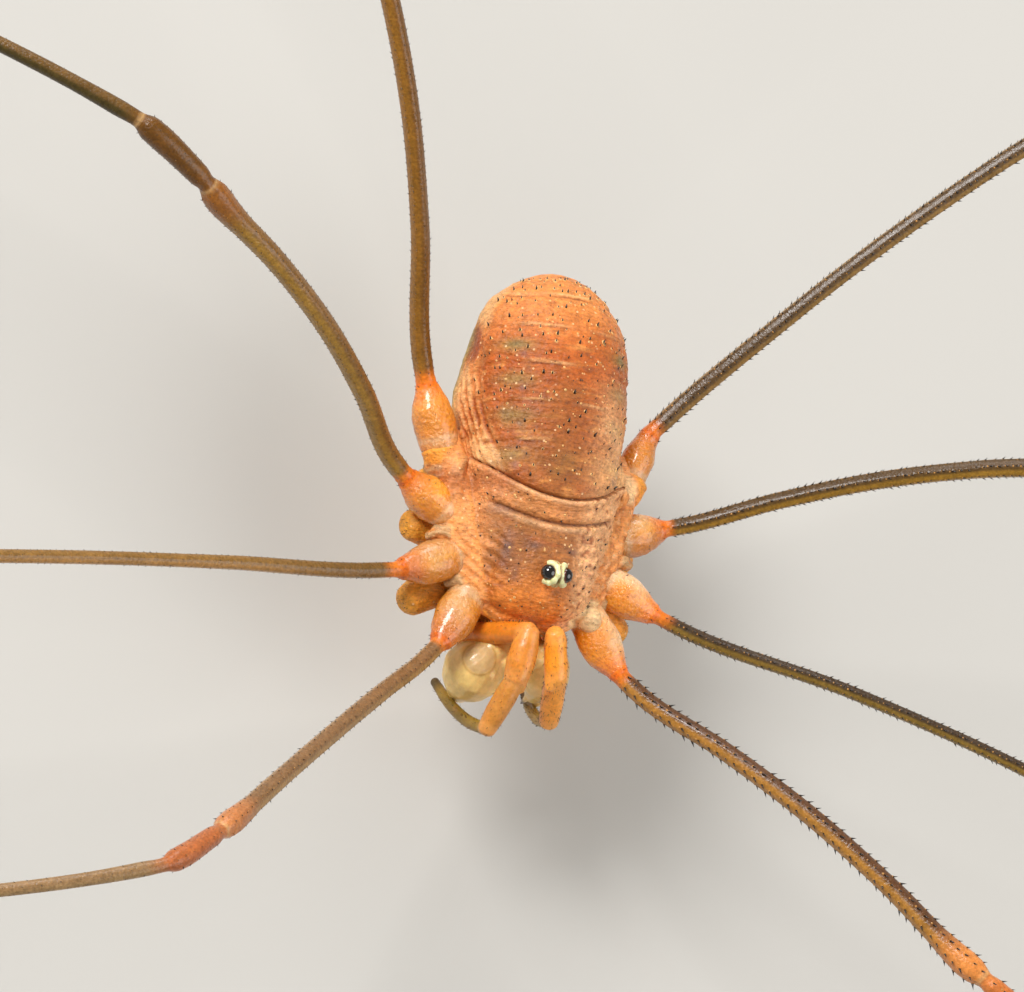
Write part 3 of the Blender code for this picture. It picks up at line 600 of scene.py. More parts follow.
def trunkShell():
    bend = np.linspace(0, np.pi / 2, 24)[1:]
    front = trunk["front"] + trunk["frontRounding"] * (1 - np.cos(bend))
    rear = trunk["rear"] - trunk["rearRounding"] * (1 - np.cos(bend[::-1]))
    middle = np.linspace(front[-1], rear[0], 90)[1:-1]
    ys = np.concatenate([front, middle, rear])
    width, top, bottom, level, shrink = sectionAt(ys)
    angles = -np.arange(110) * 2 * np.pi / 110
    high = np.where(np.sin(angles)[None] > 0, (top - level)[:, None], (level - bottom)[:, None])
    x = (width * shrink)[:, None] * np.cos(angles)
    z = level[:, None] + high * shrink[:, None] * np.sin(angles)
    rings = np.stack([x, ys[:, None] * np.ones_like(x), z], axis=-1)
    return gridShell(rings, (0, trunk["front"], level[0]), (0, trunk["rear"], level[-1]))


hips = np.array(((1.13, -0.33, -0.14), (1.34, 0.32, -0.14), (1.64, 1.03, -0.14), (1.86, 2.14, -0.12)))
femurBases = {  # the two sides stand a little differently
    "right": np.array(((-1.72, -1.39, 0.0), (-2.61, -0.17, 0.0), (-2.61, 1.54, 0.0), (-2.29, 3.3, 0.0))),
    "left": np.array(((1.83, -1.43, 0.0), (2.49, -0.24, 0.0), (2.55, 1.36, 0.0), (2.16, 3.07, 0.0))),
}
coxa = {
    "inner": np.array(((-0.1, 0.15, -0.66), (-0.1, 0.5, -0.78), (-0.1, 0.88, -0.88), (-0.1, 1.28, -1.0))),
    "middle": np.array(((0.66, -0.08, -0.66), (0.8, 0.4, -0.76), (1.0, 0.94, -0.86), (1.16, 1.56, -1.0))),
    "lobes": (None, (2.02, -0.5, -0.66), (2.06, 0.84, -0.66), (1.8, 1.66, -0.78)),
    "radii": (0.3, 0.37, 0.4, 0.36, 0.33),
    "lobeRadii": (0.3, 0.38, 0.4, 0.29),
    "bend": 0.12,
    "rimRadius": 0.315, "rimThickness": 0.035,
}


def coxaShells(side):
    flip = flips[side]
    shells = []
    for i in range(4):
        inner, middle, outer = coxa["inner"][i] * flip, coxa["middle"][i] * flip, hips[i] * flip
        out = unit(femurBases[side][i] - outer)
        end = outer - out * 0.04
        rise = middle + (end - middle) * 0.6 - np.array((0, 0, 0.5 * coxa["bend"]))
        shells.append(tubeBetween([inner, middle, rise, end - out * coxa["bend"], end], coxa["radii"]))
        if coxa["lobes"][i]:
            tip = np.array(coxa["lobes"][i]) * flip
            knots = [inner + (middle - inner) * 0.7, middle + (tip - middle) * 0.3, middle + (tip - middle) * 0.7, tip]
            shells.append(tubeBetween(knots, coxa["lobeRadii"]))
        # the raised rim that the trochanter turns in
        turn = np.linspace(0, 2 * np.pi, 25)[:-1]
        across = unit(np.cross(out, (0, 0, 1)))
        top = np.cross(across, out)
        ring = end + out * 0.03 + coxa["rimRadius"] * (
            np.cos(turn)[:, None] * across + np.sin(turn)[:, None] * top)
        for a, b in zip(ring, np.roll(ring, -1, axis=0)):
            shells.append(tubeBetween([a, (a + b) / 2, b], (coxa["rimThickness"],) * 3, 8, 0.1))
    return shells


# Soft skin between the back shield and the leg bases, one side: the knots and radii of its pads.
softBands = (
    (((0.96, -0.56, -0.14), (1.14, -0.2, -0.04), (1.34, 0.32, 0.0), (1.5, 0.95, 0.03), (1.62, 1.5, 0.03),
      (1.66, 2.0, 0.0), (1.66, 2.45, -0.1)), (0.15, 0.2, 0.22, 0.24, 0.25, 0.24, 0.14)),
    (((0.98, -0.42, 0.1), (1.12, 0.06, 0.13), (1.25, 0.55, 0.14), (1.38, 1.1, 0.14), (1.48, 1.6, 0.12)),
     (0.14, 0.18, 0.19, 0.19, 0.15)),
)
softGaps = (
    (((1.46, 0.66, 0.02), (1.72, 0.66, -0.02), (1.96, 0.6, -0.16)), (0.15, 0.15, 0.09)),
    (((1.22, -0.1, 0.02), (1.4, -0.13, -0.02), (1.56, -0.2, -0.16)), (0.14, 0.12, 0.06)),
    (((1.5, 1.3, 0.12), (1.66, 1.62, 0.12), (1.6, 2.02, 0.14)), (0.13, 0.19, 0.14)),
    (((1.66, 1.62, 0.02), (1.9, 1.74, -0.06), (2.04, 1.8, -0.2)), (0.16, 0.15, 0.08)),
)
gapReach = {"left": (1.0, 0.8, 1.0, 0.45), "right": (1.0, 1.0, 1.0, 1.0)}
shoulderLobe = (((1.38, 1.66, 0.36), (1.53, 1.84, 0.28), (1.66, 1.98, 0.2)), (0.17, 0.12, 0.045))
creamLobes = {"left": (((0.92, -0.34, 0.1), (1.08, -0.5, 0.14), (1.24, -0.66, 0.06)), (0.18, 0.25, 0.16)),
              "right": (((-0.98, -0.4, 0.02), (-1.06, -0.52, 0.0), (-1.12, -0.6, -0.06)), (0.1, 0.12, 0.08))}


def bodyShells():  # the shells of the whole body, and the middle lines and radii of its soft pads
    shells, bands, gaps = [trunkShell()], [], []
    for side, flip in flips.items():
        shells += coxaShells(side)
        edges = [(np.array(knots) * flip, radii) for knots, radii in softBands]
        if side == "left":
            edges.append(shoulderLobe)
        between = [creamLobes[side]]
        for (knots, radii), reach in zip(softGaps, gapReach[side]):
            knots = np.array(knots)
            between.append(((knots[0] + (knots - knots[0]) * reach) * flip, radii))
        for pads, rows in ((bands, edges), (gaps, between)):
            for knots, radii in rows:
                shells.append(tubeBetween(np.array(knots), radii, 16))
                line, travel, marks = smoothPath(knots, 0.09)
                pads.append((line, np.interp(travel, marks, radii)))
    # cover plate of the underside, from behind the mouth to the first belly plate
    for x, radius in ((-0.16, 0.26), (0.0, 0.3), (0.16, 0.26)):
        knots = [(x, 0.1, -0.86), (x * 1.4, 1.0, -1.0), (x * 1.9, 1.9, -1.14), (x * 2.0, 2.5, -1.16)]
        shells.append(tubeBetween(knots, (0.2, radius, radius, 0.22), 16))
    # lip over the mouth, front edge of the shield and the bases of the feelers
    shells.append(tubeBetween([(0, -0.42, -0.3), (0, -0.74, -0.34), (0, -0.92, -0.46)], (0.24, 0.2, 0.12), 16))
    for knots, radii in (
            (((0.85, -0.52, -0.05), (0.5, -0.7, 0.02), (0.12, -0.76, 0.04)), (0.16, 0.16, 0.13)),
            (((0.3, -0.1, -0.62), (0.52, -0.36, -0.62), (0.7, -0.58, -0.66)), (0.24, 0.26, 0.24))):
        for side in ("right", "left"):
            shells.append(tubeBetween(np.array(knots) * flips[side], radii, 16))
    return shells, bands, gaps


def padNearness(points, pads):  # distance to the nearest soft pad's middle line over its radius
    best = np.full(len(points), 9.0)
    for line, radii in pads:
        for spot, radius in zip(line, radii):
            best = np.minimum(best, np.linalg.norm(points - spot, axis=1) / radius)
    return best


bodyDetail = {
    "pleatDegrees": 5.6, "pleatDepth": 0.02, "furrowDepth": 0.02,
    "spiculeRows": (1.72, 2.1, 2.45, 2.78, 3.1, 3.48, 3.8, 4.14, 4.46, 4.8, 5.06, 5.28),
    "furrows": (2.26, 2.94, 3.62, 4.3, 4.92), "oliveSpots": (1.98, 2.7, 3.34, 3.96),
    # place, width and height of the ridges and valleys along the fold and along the groove before it
    "foldRows": ((0.0, 0.032, -0.085), (0.16, 0.13, 0.05), (-0.1, 0.075, 0.028)),
    "grooveRows": ((0.0, 0.03, -0.06), (0.12, 0.09, 0.03), (-0.085, 0.055, 0.02)),
    # the right side in the pose of the photograph: full at the rear, pinched in the middle
    "sideBulges": (((-1.15, 4.85, 0.15), 0.07, 0.34), ((-1.42, 4.12, -0.05), -0.08, 0.3),
                   ((-1.5, 3.25, -0.45), 0.045, 0.55)),
    "shoulders": ((1, 0.14, 0.26), (-1, 0.05, 0.2)),  # side, height and size of the pointed lobes
    # hollows and swellings on each side of the eye mound: middle, half sizes and height
    "hollows": ((0.56, 0.45, 0.2, 0.34, -0.045), (0.84, 0.1, 0.12, 0.55, 0.035), (1.0, 0.2, 0.07, 0.5, -0.03)),
    "bellyPlates": (2.75, 3.25, 3.75, 4.25, 4.7), "spiculeDegrees": 5.6, "shieldGranules": 240, "coxaTeeth": 26,
    # cream caps over the base of the first left leg and on the left shoulder: middle, half sizes, strength
    "caps": (((1.08, -0.52, 0.16), (0.38, 0.33, 0.3), 0.95), ((1.58, 1.9, 0.24), (0.28, 0.28, 0.28), 0.8)),
    # mauve patches of the shield: middle, half sizes and strength
    "mauve": ((0.84, 0.36, 0.09, 0.3, 0.85), (0.42, 0.46, 0.2, 0.07, 0.8), (1.06, 1.05, 0.2, 0.07, 0.85),
              (0.66, 0.0, 0.08, 0.24, 0.5), (0.72, 0.62, 0.16, 0.08, 0.45)),
}


def trunkPlace(points):
    width, top, bottom, level, shrink = sectionAt(points[:, 1])
    rise = points[:, 2] - level
    high = np.where(rise > 0, top - level, level - bottom)
    across, up = points[:, 0] / width, rise / high
    radial = np.hypot(across, up) / np.maximum(shrink, 0.05)
    return radial, np.degrees(np.arctan2(up, np.abs(across)))


def pleatLine(y):  # degrees from the level side up to the first pleat, falling off to the rear
    return 48 - 34 * (1 - np.exp(-(np.maximum(y, 1.6) - 1.65) / 1.2))


def bodyFields(points, bands, gaps):  # what the shape and the paint go by, at each point of the skin
    x, y, z = points.T
    radial, angle = trunkPlace(points)
    # near the flat front end the measure above is unsure, so the front counts as shield by height
    onTrunk = np.where((y < -0.45) & (z > 0.05), 1.0, 1 - ramp(1.0, 1.07, radial))
    radius = trunk["foldRadius"]
    fold = trunk["foldFront"] + radius - np.sqrt(np.maximum(radius**2 - np.minimum(np.abs(x), 1.6)**2, 0.05))
    fold = (y - fold) * 0.85
    groove = y - (0.89 + 0.2 * x**2)
    flank = (pleatLine(y) - angle) / bodyDetail["pleatDegrees"]  # how many pleats down the flank
    low, nearBand = ramp(-0.42, -0.15, z), padNearness(points, bands)
    band = ramp(1.45, 1.08, nearBand) * low
    edge = ramp(14, -6, angle) * ramp(2.7, 2.0, y)  # rim of the shield and soft side
    band = np.maximum(band * (1 - onTrunk), band * edge)
    gap = ramp(1.4, 1.06, padNearness(points, gaps)) * low * (1 - onTrunk) * ramp(1.0, 1.25, nearBand)
    cap = np.zeros(len(points))
    for centre, size, amount in bodyDetail["caps"]:
        cap = np.maximum(cap, ramp(1.25, 0.9, np.linalg.norm((points - centre) / size, axis=1)) * amount)
    # the shield's left edge is rough with granules; its right edge is nearly smooth
    grit = ramp(0.3, 0.62, x) + 0.25 * ramp(-0.95, -1.15, x)
    wobble = np.stack([noise(points, 0.3, seed) for seed in (1, 2, 3)], axis=1)
    folds = 1 - 2.2 * np.abs(noise(points * (0.75, 2.0, 1.0) + 0.1 * wobble, 0.26, 33))
    return x, y, z, angle, onTrunk, fold, groove, flank, band, gap, cap, grit, folds


def ringWander(points):  # how far the rings of the back stray
    return 0.05 * noise(points * (0.7, 0.3, 0.7), 0.6, 3)


def shapeBody(points, normals, fields):  # the carved skin and how far each point rose
    x, y, z, angle, onTrunk, fold, groove, flank, band, gap, cap, grit, folds = fields
    rearward = ramp(-0.02, 0.06, fold)
    lift = np.zeros(len(points))

    # the abdomen swells over the shield behind it, and a groove runs across the shield
    foldFade = onTrunk * ramp(-5, 25, angle) * ramp(1.58, 1.4, np.abs(x))
    grooveFade = onTrunk * ramp(18, 38, angle)
    for line, fade, rows in ((fold, foldFade, "foldRows"), (groove, grooveFade, "grooveRows")):
        for place, width, height in bodyDetail[rows]:
            lift += height * hump(line, place, width) * fade
    between = onTrunk * ramp(-0.3, -0.12, groove) * ramp(0.3, 0.1, fold) * ramp(5, 25, angle)
    waves = np.sin(2 * np.pi * (fold + 0.05 * clouds(points * (0.6, 1, 1), 0.3, 19)) / 0.062)
    lift += 0.006 * waves * between * (0.6 + 0.6 * noise(points, 0.3, 20))

    # rings of the back, with a raised crest behind each furrow that gets a painted highlight
    ring = y + ringWander(points)
    onBack = onTrunk * rearward * ramp(10, 30, angle)
    for place in bodyDetail["furrows"]:
        lift -= bodyDetail["furrowDepth"] * hump(ring, place, 0.03) * onBack
        lift += 0.01 * hump(ring, place + 0.07, 0.04) * onBack

    # long pleats of the flank: one sharp edge above, finer ones below it
    flankFade = onTrunk * ramp(1.62, 1.8, y) * ramp(5.3, 4.4, y) * ramp(-48, -25, angle)
    spread = 1 + 0.16 * np.maximum(y - 2.2, 0)
    ridge = np.cos((flank / spread + 0.75 * clouds(points, 0.45, 8)) * 2 * np.pi)
    depth = bodyDetail["pleatDepth"] * (0.65 + 0.6 * noise(points, 0.4, 9)) * ramp(5.0, 2.6, y)
    lift += depth * (ridge - 0.35) * flankFade * ramp(-0.3, 0.2, flank) * ramp(8.0, 5.0, flank)
    lift += 0.032 * hump(flank, -1.1, 1.4) * flankFade
    lift -= 0.022 * hump(flank, 0.55, 0.5) * flankFade * ramp(4.9, 3.5, y)

    # soft cross wrinkles of the back, and rumpled skin low on the sides
    ripple = np.sin(2 * np.pi * (y + 0.12 * clouds(points * (0.5, 1, 0.5), 0.4, 21)) / 0.118)
    lift += 0.0065 * ripple * onBack * (0.6 + 0.5 * noise(points, 0.5, 5))
    narrowed = points * (0.5, 1.0, 1.0)
    lift += (0.009 * noise(narrowed, 0.075, 26) + 0.018 * clouds(narrowed, 0.3, 31)) * onTrunk * rearward
    lift += 0.026 * clouds(points, 0.2, 41) * onTrunk * hump(angle, 2, 26) * ramp(4.6, 2.0, y)
    for place, height, size in bodyDetail["sideBulges"]:
        lift += height * hump(np.linalg.norm(points - place, axis=1), 0, size) * onTrunk
    for sign, height, size in bodyDetail["shoulders"]:
        lift += height * hump(np.linalg.norm(points - (1.36 * sign, 1.8, 0.5), axis=1), 0, size)

    # shield: a hollow on each side of the eye mound, granules near the edges
    shield = onTrunk * (1 - rearward) * ramp(-10, 15, angle)
    for sign in (-1, 1):
        for px, py, wide, long, height in bodyDetail["hollows"]:
            lift += height * patch(x, y, px * sign, py, wide, long) * shield
    lift += (0.016 * clouds(points, 0.2, 51) + 0.006 * noise(points, 0.07, 55)
             + 0.034 * (np.abs(noise(points, 0.085, 61)) - 0.3) * grit) * shield
    slant = 0.66 * np.abs(x) - 0.75 * y + 0.05 * clouds(points, 0.3, 52)
    corner = ramp(0.72, 0.92, np.abs(x)) * ramp(-0.45, -0.25, y) * ramp(0.75, 0.45, y) * ramp(-25, -5, angle)
    lift += 0.02 * np.cos(2 * np.pi * slant / 0.135) * corner

    # plates of the belly
    belly = onTrunk * ramp(-20, -50, angle) * rearward
    for place in bodyDetail["bellyPlates"]:
        lift -= 0.03 * hump(y, place - 0.12 * x**2, 0.05) * belly
    lift += 0.01 * clouds(points * (0.4, 1, 1), 0.25, 71) * belly

    # leg bases: nearly smooth, faintly pitted
    lift += 0.01 * clouds(points, 0.25, 81) * (1 - onTrunk)
    lift += (0.03 * folds + 0.012 * noise(points, 0.07, 83)) * gap
    lift += (0.012 * folds + 0.02 * np.abs(noise(points, 0.1, 84))) * band
    lift *= 1 - 0.9 * cap  # the cream caps are smooth
    moved = points + normals * lift[:, None]
    moved[:, 1] -= 0.075 * hump(fold, 0.09, 0.1) * foldFade  # the bulge hangs over the fold
    return moved, lift


bodyColours = {
    "back": "#b6581a", "rear": "#e28c46", "saddle": "#985624", "olive": "#86763f", "streak": "#e6984e",
    "rust": "#9a4216", "foldShade": "#6a3014", "paleRidge": "#ecb478", "band": "#d88c50", "bandPale": "#ecb684",
    "flank": "#d68a4a", "shield": "#a66632", "shieldFront": "#e48434", "mauve": "#6e504a",
    "shieldRim": "#f09c58", "cream": "#fab880", "pit": "#9c502a", "membrane": "#cca474",
    "membraneGrey": "#bca07c", "softOrange": "#dc8c48", "coxa": "#dc9430", "coxaOrange": "#f29c3a",
    "cap": "#f4cc96", "leftPale": "#f0b47c", "belly": "#c8a066", "bellyGreen": "#a99a58",
    "plate": "#b98745", "plum": "#5e4a52",
}


def paintBody(points, fields, lift):
    x, y, z, angle, onTrunk, fold, groove, flank, band, gap, cap, grit, folds = fields
    coat = partial(coats, bodyColours)
    away, rearward, above = np.abs(x), ramp(-0.02, 0.03, fold), ramp(0, 40, angle)
    blotch = clouds(points * (0.6, 1.0, 1.0), 0.45, 91)
    fine = clouds(points * (0.35, 1.6, 1.0), 0.16, 95)
    tint = coat(
        "back", ("rear", ramp(3.6, 5.0, y) * 0.9),
        ("saddle", hump(x, -0.35, 0.8) * ramp(4.2, 2.8, y) * (0.72 + 0.35 * blotch)),
        ("streak", ramp(0.15, 0.75, fine) * 0.65), ("rust", ramp(0.1, 0.75, -fine) * 0.42),
        ("olive", ramp(2.7, 1.7, y) * (0.18 + 0.35 * clouds(points, 0.5, 93))))
    for place in bodyDetail["oliveSpots"]:
        tint = coat(
            tint, ("olive", patch(away, y, 1.02, place, 0.26, 0.13) * above * (0.75 + 0.4 * blotch)),
            ("plum", patch(away, y, 0.92, place - 0.16, 0.05, 0.05) * above * 0.55))
    tint = coat(tint, ("olive", ramp(0.25, 0.8, -blotch) * 0.45 * ramp(4.4, 3.2, y)))
    # painted shade in each furrow of the back and a painted highlight on the raised crest behind it
    for place in bodyDetail["furrows"]:
        ring = y + ringWander(points) - place
        broken = ramp(-0.25, 0.35, noise(points + place, 0.55, 92)) * ramp(10, 30, angle)
        tint = coat(tint, ("foldShade", hump(ring, 0.0, 0.018) * 0.7 * broken),
                    ("paleRidge", hump(ring, 0.045, 0.02) * 0.75 * broken))
    corner = ramp(0.95, 1.35, away) * ramp(2.5, 1.9, y) * ramp(0.0, 0.5, z)
    onFlank = ramp(-0.8, 1.2, flank + 0.8 * blotch) * ramp(1.6, 1.9, y)
    # the left side is paler: partly its own pale colour, partly painted light on that side
    tint = coat(
        tint, ("leftPale", ramp(0.08, 0.95, x) * ramp(4.1, 2.6, y) * (0.62 + 0.4 * blotch)),
        ("saddle", hump(x, -0.15, 0.55) * hump(y, 2.8, 0.5) * 0.45),
        ("bandPale", corner * (0.55 + 0.5 * blotch) * np.where(x > 0, 1.0, 0.35)),
        # flank pleats: painted highlight on the raised crests and painted shade in the sunken valleys, both following
        # the carved height
        ("flank", onFlank * ramp(9.0, 6.0, flank) * 0.6), ("paleRidge", onFlank * ramp(-0.004, 0.02, lift) * 0.7),
        ("rust", onFlank * ramp(-0.006, -0.028, lift) * 0.85),
        # belly and its translucent greenish edge
        ("belly", ramp(-8, -35, angle) * 0.9), ("bellyGreen", hump(angle, -20, 13) * 0.8 * rearward))

    # the shield; the pale lines just before the fold and the groove are painted highlights on the ridges there, the
    # pale corner is its own colour
    front = coat(
        "shield", ("shieldFront", ramp(0.25, -0.55, y) * 0.9), ("rust", ramp(0.1, 0.7, fine) * 0.4),
        ("band", ramp(0.0, 0.05, groove) * 0.8), ("bandPale", hump(fold, -0.06, 0.035) * 0.75),
        ("bandPale", hump(groove, -0.075, 0.06) * 0.6))
    spotty = 0.75 + 0.5 * noise(points, 0.14, 97)
    for px, py, wide, long, amount in bodyDetail["mauve"]:
        front = coat(front, ("mauve", patch(away, y, px, py, wide, long) * amount * spotty))
    grain = noise(points, 0.075, 57)
    # the left edge of the shield is paler too, partly its own colour and partly painted light
    front = coat(
        front, ("shieldRim", ramp(0.85, 1.35, away) * (0.55 + 0.4 * blotch)),
        ("leftPale", ramp(0.25, 0.75, x) * 0.65), ("cream", grit * (0.3 + 0.55 * ramp(-0.1, 0.6, grain))),
        ("pit", grit * ramp(-0.25, -0.65, grain) * 0.75))
    creases = hump(fold, 0.0, 0.022) + 0.9 * hump(groove, 0.0, 0.02) * ramp(18, 38, angle)

    # leg bases, the rim over them and the pale skin between them and the trunk
    base = coat(
        "coxa", ("coxaOrange", ramp(-0.55, -0.1, z) * 0.8), ("plate", ramp(-0.75, -1.0, z) * 0.5),
        ("streak", ramp(0.2, 0.8, blotch) * 0.3))
    rough = 0.25 + 0.75 * ramp(-0.2, 0.4, x)
    rim = coat(
        "shieldRim", ("softOrange", ramp(-0.3, 0.5, blotch) * 0.7), ("cream", ramp(0.0, 0.6, grain) * 0.7 * rough),
        ("pit", ramp(-0.35, -0.75, grain) * 0.6 * rough), ("mauve", ramp(0.25, 0.7, clouds(points, 0.35, 96)) * 0.3))
    pale = coat(
        "softOrange", ("membrane", ramp(-0.2, 0.55, folds + 0.3 * blotch) * 0.95),
        ("membraneGrey", ramp(0.0, 0.6, clouds(points, 0.35, 99)) * 0.5)) * 0.9
    # painted shade in the low folds of the soft skin between the legs
    pale = coat(pale, ("rust", ramp(-0.55, -0.95, folds) * 0.6))
    return coat(
        tint, (front, (1 - rearward) * ramp(-25, 5, angle)), ("foldShade", creases * ramp(0, 20, angle) * 0.95),
        (base, 1 - onTrunk), (rim, band * 0.95), (pale, gap * 0.9),
        # the waist is darker on the right: painted shade between the shield and the abdomen
        ("pit", ramp(-0.7, -1.1, x) * hump(y, 1.55, 0.28) * ramp(-0.2, 0.1, z) * 0.6),
        ("cap", cap * (0.9 + 0.1 * blotch)))


def makeBody():
    shells, bands, gaps = bodyShells()
    mesh, points, normals = fusedSkin("bodySkin", shells, trunk["voxel"], 3)
    fields = bodyFields(points, bands, gaps)
    moved, lift = shapeBody(points, normals, fields)
    mark(mesh, "tint", paintBody(points, fields, lift))
    writePoints(mesh, moved)
    normals = readPoints(mesh, "normal")
    print("bodySkin", len(mesh.polygons), "faces")
    newPiece("bodySkin", placed(mesh), [bodyCuticle],
             ["abdomen", "carapace", "coxae_left", "coxae_right"])
    tree = kdtree.KDTree(len(moved))
    for number, spot in enumerate(moved):
        tree.insert(spot, number)
    tree.balance()
    return tree, normals


bodyTree, bodyNormals = makeBody()


def onBody(place):  # nearest point of the finished body skin and its normal
    spot, number, away = bodyTree.find(place)
    return np.array(spot), bodyNormals[number]


# Eye mound: two ivory ridges curl round the eyes, with a brown furrow between them.
mound = {
    "eyeCentre": {"right": (-0.2, -0.03, 1.11), "left": (0.12, -0.03, 1.08)},
    "eyeRadius": 0.145, "eyeAxis": (0.8, -0.05, 0.6),
    "ridgeRadius": 0.166, "ridgeThickness": 0.046, "ridgeTurns": (-12, 222),
    "knobs": ((4, 0.42, 20), (60, 0.15, 14), (105, 0.2, 12), (152, 0.3, 14), (186, 0.5, 13), (216, 0.45, 10)),
    "voxel": 0.0095,
    "ivory": "#e6e2ac", "green": "#c8c886", "furrow": "#8d5a30", "shade": "#b89a58",
    "eyeBlack": "#0b0605", "eyeRim": "#8a4424",
}


def makeMound():
    shells = [ballShell((-0.02, -0.01, 0.92), (0.17, 0.26, 0.19)),
              tubeBetween([(-0.02, 0.16, 1.02), (-0.02, 0.0, 1.09), (-0.02, -0.18, 1.03)], (0.06, 0.08, 0.06), 12)]
    for side, flip in flips.items():
        axis = unit(mound["eyeAxis"] * flip)
        upward = unit(np.array((0, 0, 1)) - axis * axis[2])
        rearward = np.cross(upward, axis) * flip[0]
        turns = np.radians(np.linspace(*mound["ridgeTurns"], 72))
        ring = mound["eyeCentre"][side] - axis * 0.025 + mound["ridgeRadius"] * (
            np.cos(turns)[:, None] * rearward + np.sin(turns)[:, None] * upward)
        knobs = 1 + sum(height * hump(np.degrees(turns), at, wide) for at, height, wide in mound["knobs"])
        shells.append(tubeShell(ring, mound["ridgeThickness"] * knobs, 16, True, axis))
    mesh, points, normals = fusedSkin("eyeMound", shells, mound["voxel"], 3)
    x, y, z = points.T
    lumps = clouds(points, 0.075, 16) * ramp(0.98, 1.06, z)
    writePoints(mesh, points + normals * (0.014 * lumps)[:, None])
    mark(mesh, "tint", coats(
        mound, "ivory", ("green", ramp(-0.2, 0.6, clouds(points, 0.1, 15)) * 0.55),
        ("shade", ramp(1.12, 1.02, z) * 0.5), ("furrow", hump(x, -0.02, 0.02) * 0.75),
        (bodyColours["shieldFront"], ramp(1.01, 0.95, z) * 0.95)))
    newPiece("eyeMound", placed(mesh), [moundCuticle], ["ocularium"])


def makeEyes():
    for side, flip in flips.items():
        points, faces = ballShell((0, 0, 0), (1, 1, 1), 48, 31)
        facing = points @ unit(mound["eyeAxis"] * flip)
        reach = mound["eyeRadius"] * (1 + 0.02 * ramp(0.2, 0.9, facing) - 0.03 * hump(facing, 0.05, 0.12))
        mesh = meshOf("eye_" + side, [(points * reach[:, None] + mound["eyeCentre"][side], faces)])
        mark(mesh, "tint", coats(mound, "eyeBlack", ("eyeRim", ramp(0.42, 0.1, facing) * 0.9)))
        newPiece("eyeLens_" + side, placed(mesh), [eyeCornea], ["eye_" + side])


makeMound()
makeEyes()
print("eyes made")

# Legs. Headings are degrees from straight out sideways, to the rear, with rises above level, for
# femur, patella and tibia; then the curl of the tarsus, and in mm the femur's bow upward and rearward.
stance = {
    ("right", 1): ((-39.4, 28.2), (-35.7, 20.9), (-12.5, -18.0), 28.0, (0.08, 0.05)),
    ("right", 2): ((-9.5, 11.0), (-9.0, 3.0), (-6.0, -13.0), 46.0, (0.09, 0.1)),
    ("right", 3): ((31.1, 29.8), (31.2, 6.9), (23.3, -17.5), -30.0, (0.53, 0.1)),
    ("right", 4): ((62.5, 26.0), (62.0, 9.0), (55.0, -20.0), -34.0, (0.52, 0.2)),
    ("left", 1): ((-41.7, 24.2), (-37.0, 8.0), (-18.0, -18.0), 34.0, (0.25, 0.18)),
    ("left", 2): ((-23.4, 17.3), (-18.0, 8.0), (-14.0, -19.0), 52.0, (0.19, 0.47)),
    ("left", 3): ((13.6, 27.7), (15.0, 3.0), (17.0, -17.0), -26.0, (0.16, 0.25)),
    ("left", 4): ((44.8, 27.8), (46.0, 8.0), (43.0, -20.0), -40.0, (0.14, 0.25)),
}
legs = {
    "lengths": ((8.4, 1.55, 6.8, 8.5, 12.0), (13.8, 2.0, 12.0, 13.0, 22.0),
                (7.8, 1.7, 6.3, 9.5, 13.0), (10.5, 1.8, 8.8, 14.0, 17.0)),
    "hipHeight": 4.0, "tarsusStart": 1.25, "solidSink": 0.205, "kneeRounding": 0.45,
    # real radii in mm: femur at its base, middle and end, patella, tibia, metatarsus, tarsus
    "radii": ((0.155, 0.165, 0.235, 0.2, 0.125, 0.085, 0.062), (0.13, 0.112, 0.15, 0.155, 0.09, 0.07, 0.055),
              (0.15, 0.158, 0.215, 0.19, 0.12, 0.085, 0.062), (0.16, 0.15, 0.19, 0.17, 0.11, 0.08, 0.06)),
    "around": 24, "wider": {("right", 1): 0.95, ("right", 2): 1.08, ("right", 3): 1.14, ("right", 4): 1.08},
    "bulbs": {("left", 4): 0.78}, "darkRoots": {("right", 2): 0.55},
    "toothSpacing": (0.2, 0.14, 0.14, 0.14), "toothLength": (0.105, 0.072, 0.078, 0.078), "toothRows": 6,
    "rightTeeth": 0.62, "bulbTeeth": 16, "hairSpacing": 0.085,
    # depths, as shares of the radius: ridges of the femur; lumps, pits and crease of the trochanter;
    # and with their spacing in mm, rings of the tarsus and false joints of the metatarsus
    "ridges": 0.035, "lumps": 0.1, "pits": 0.018, "crease": 0.06,
    "tarsusRings": (0.05, 0.42), "falseJoints": (0.06, 2.3),
}
legColours = {  # side and back of the femur, its end, patella, tibia
    ("right", 1): ("#a07844", "#7c5a3a", "#b87340", "#a85e30", "#9c7c52"),
    ("right", 2): ("#a87a40", "#84602e", "#a86830", "#98582a", "#825a32"),
    ("right", 3): ("#9c742c", "#7c5424", "#8c541a", "#664010", "#463814"),
    ("right", 4): ("#8c5e1c", "#744a16", "#9c6420", "#80501c", "#6c5020"),
    ("left", 1): ("#a8742e", "#4e2e1c", "#d88640", "#bc6a30", "#8c6430"),
    ("left", 2): ("#7e6226", "#32221a", "#966028", "#885426", "#644a24"),
    ("left", 3): ("#966e22", "#45301a", "#a86a2a", "#985e2a", "#6e5026"),
    ("left", 4): ("#94703a", "#4a3622", "#9c662c", "#8a5628", "#684c26"),
}
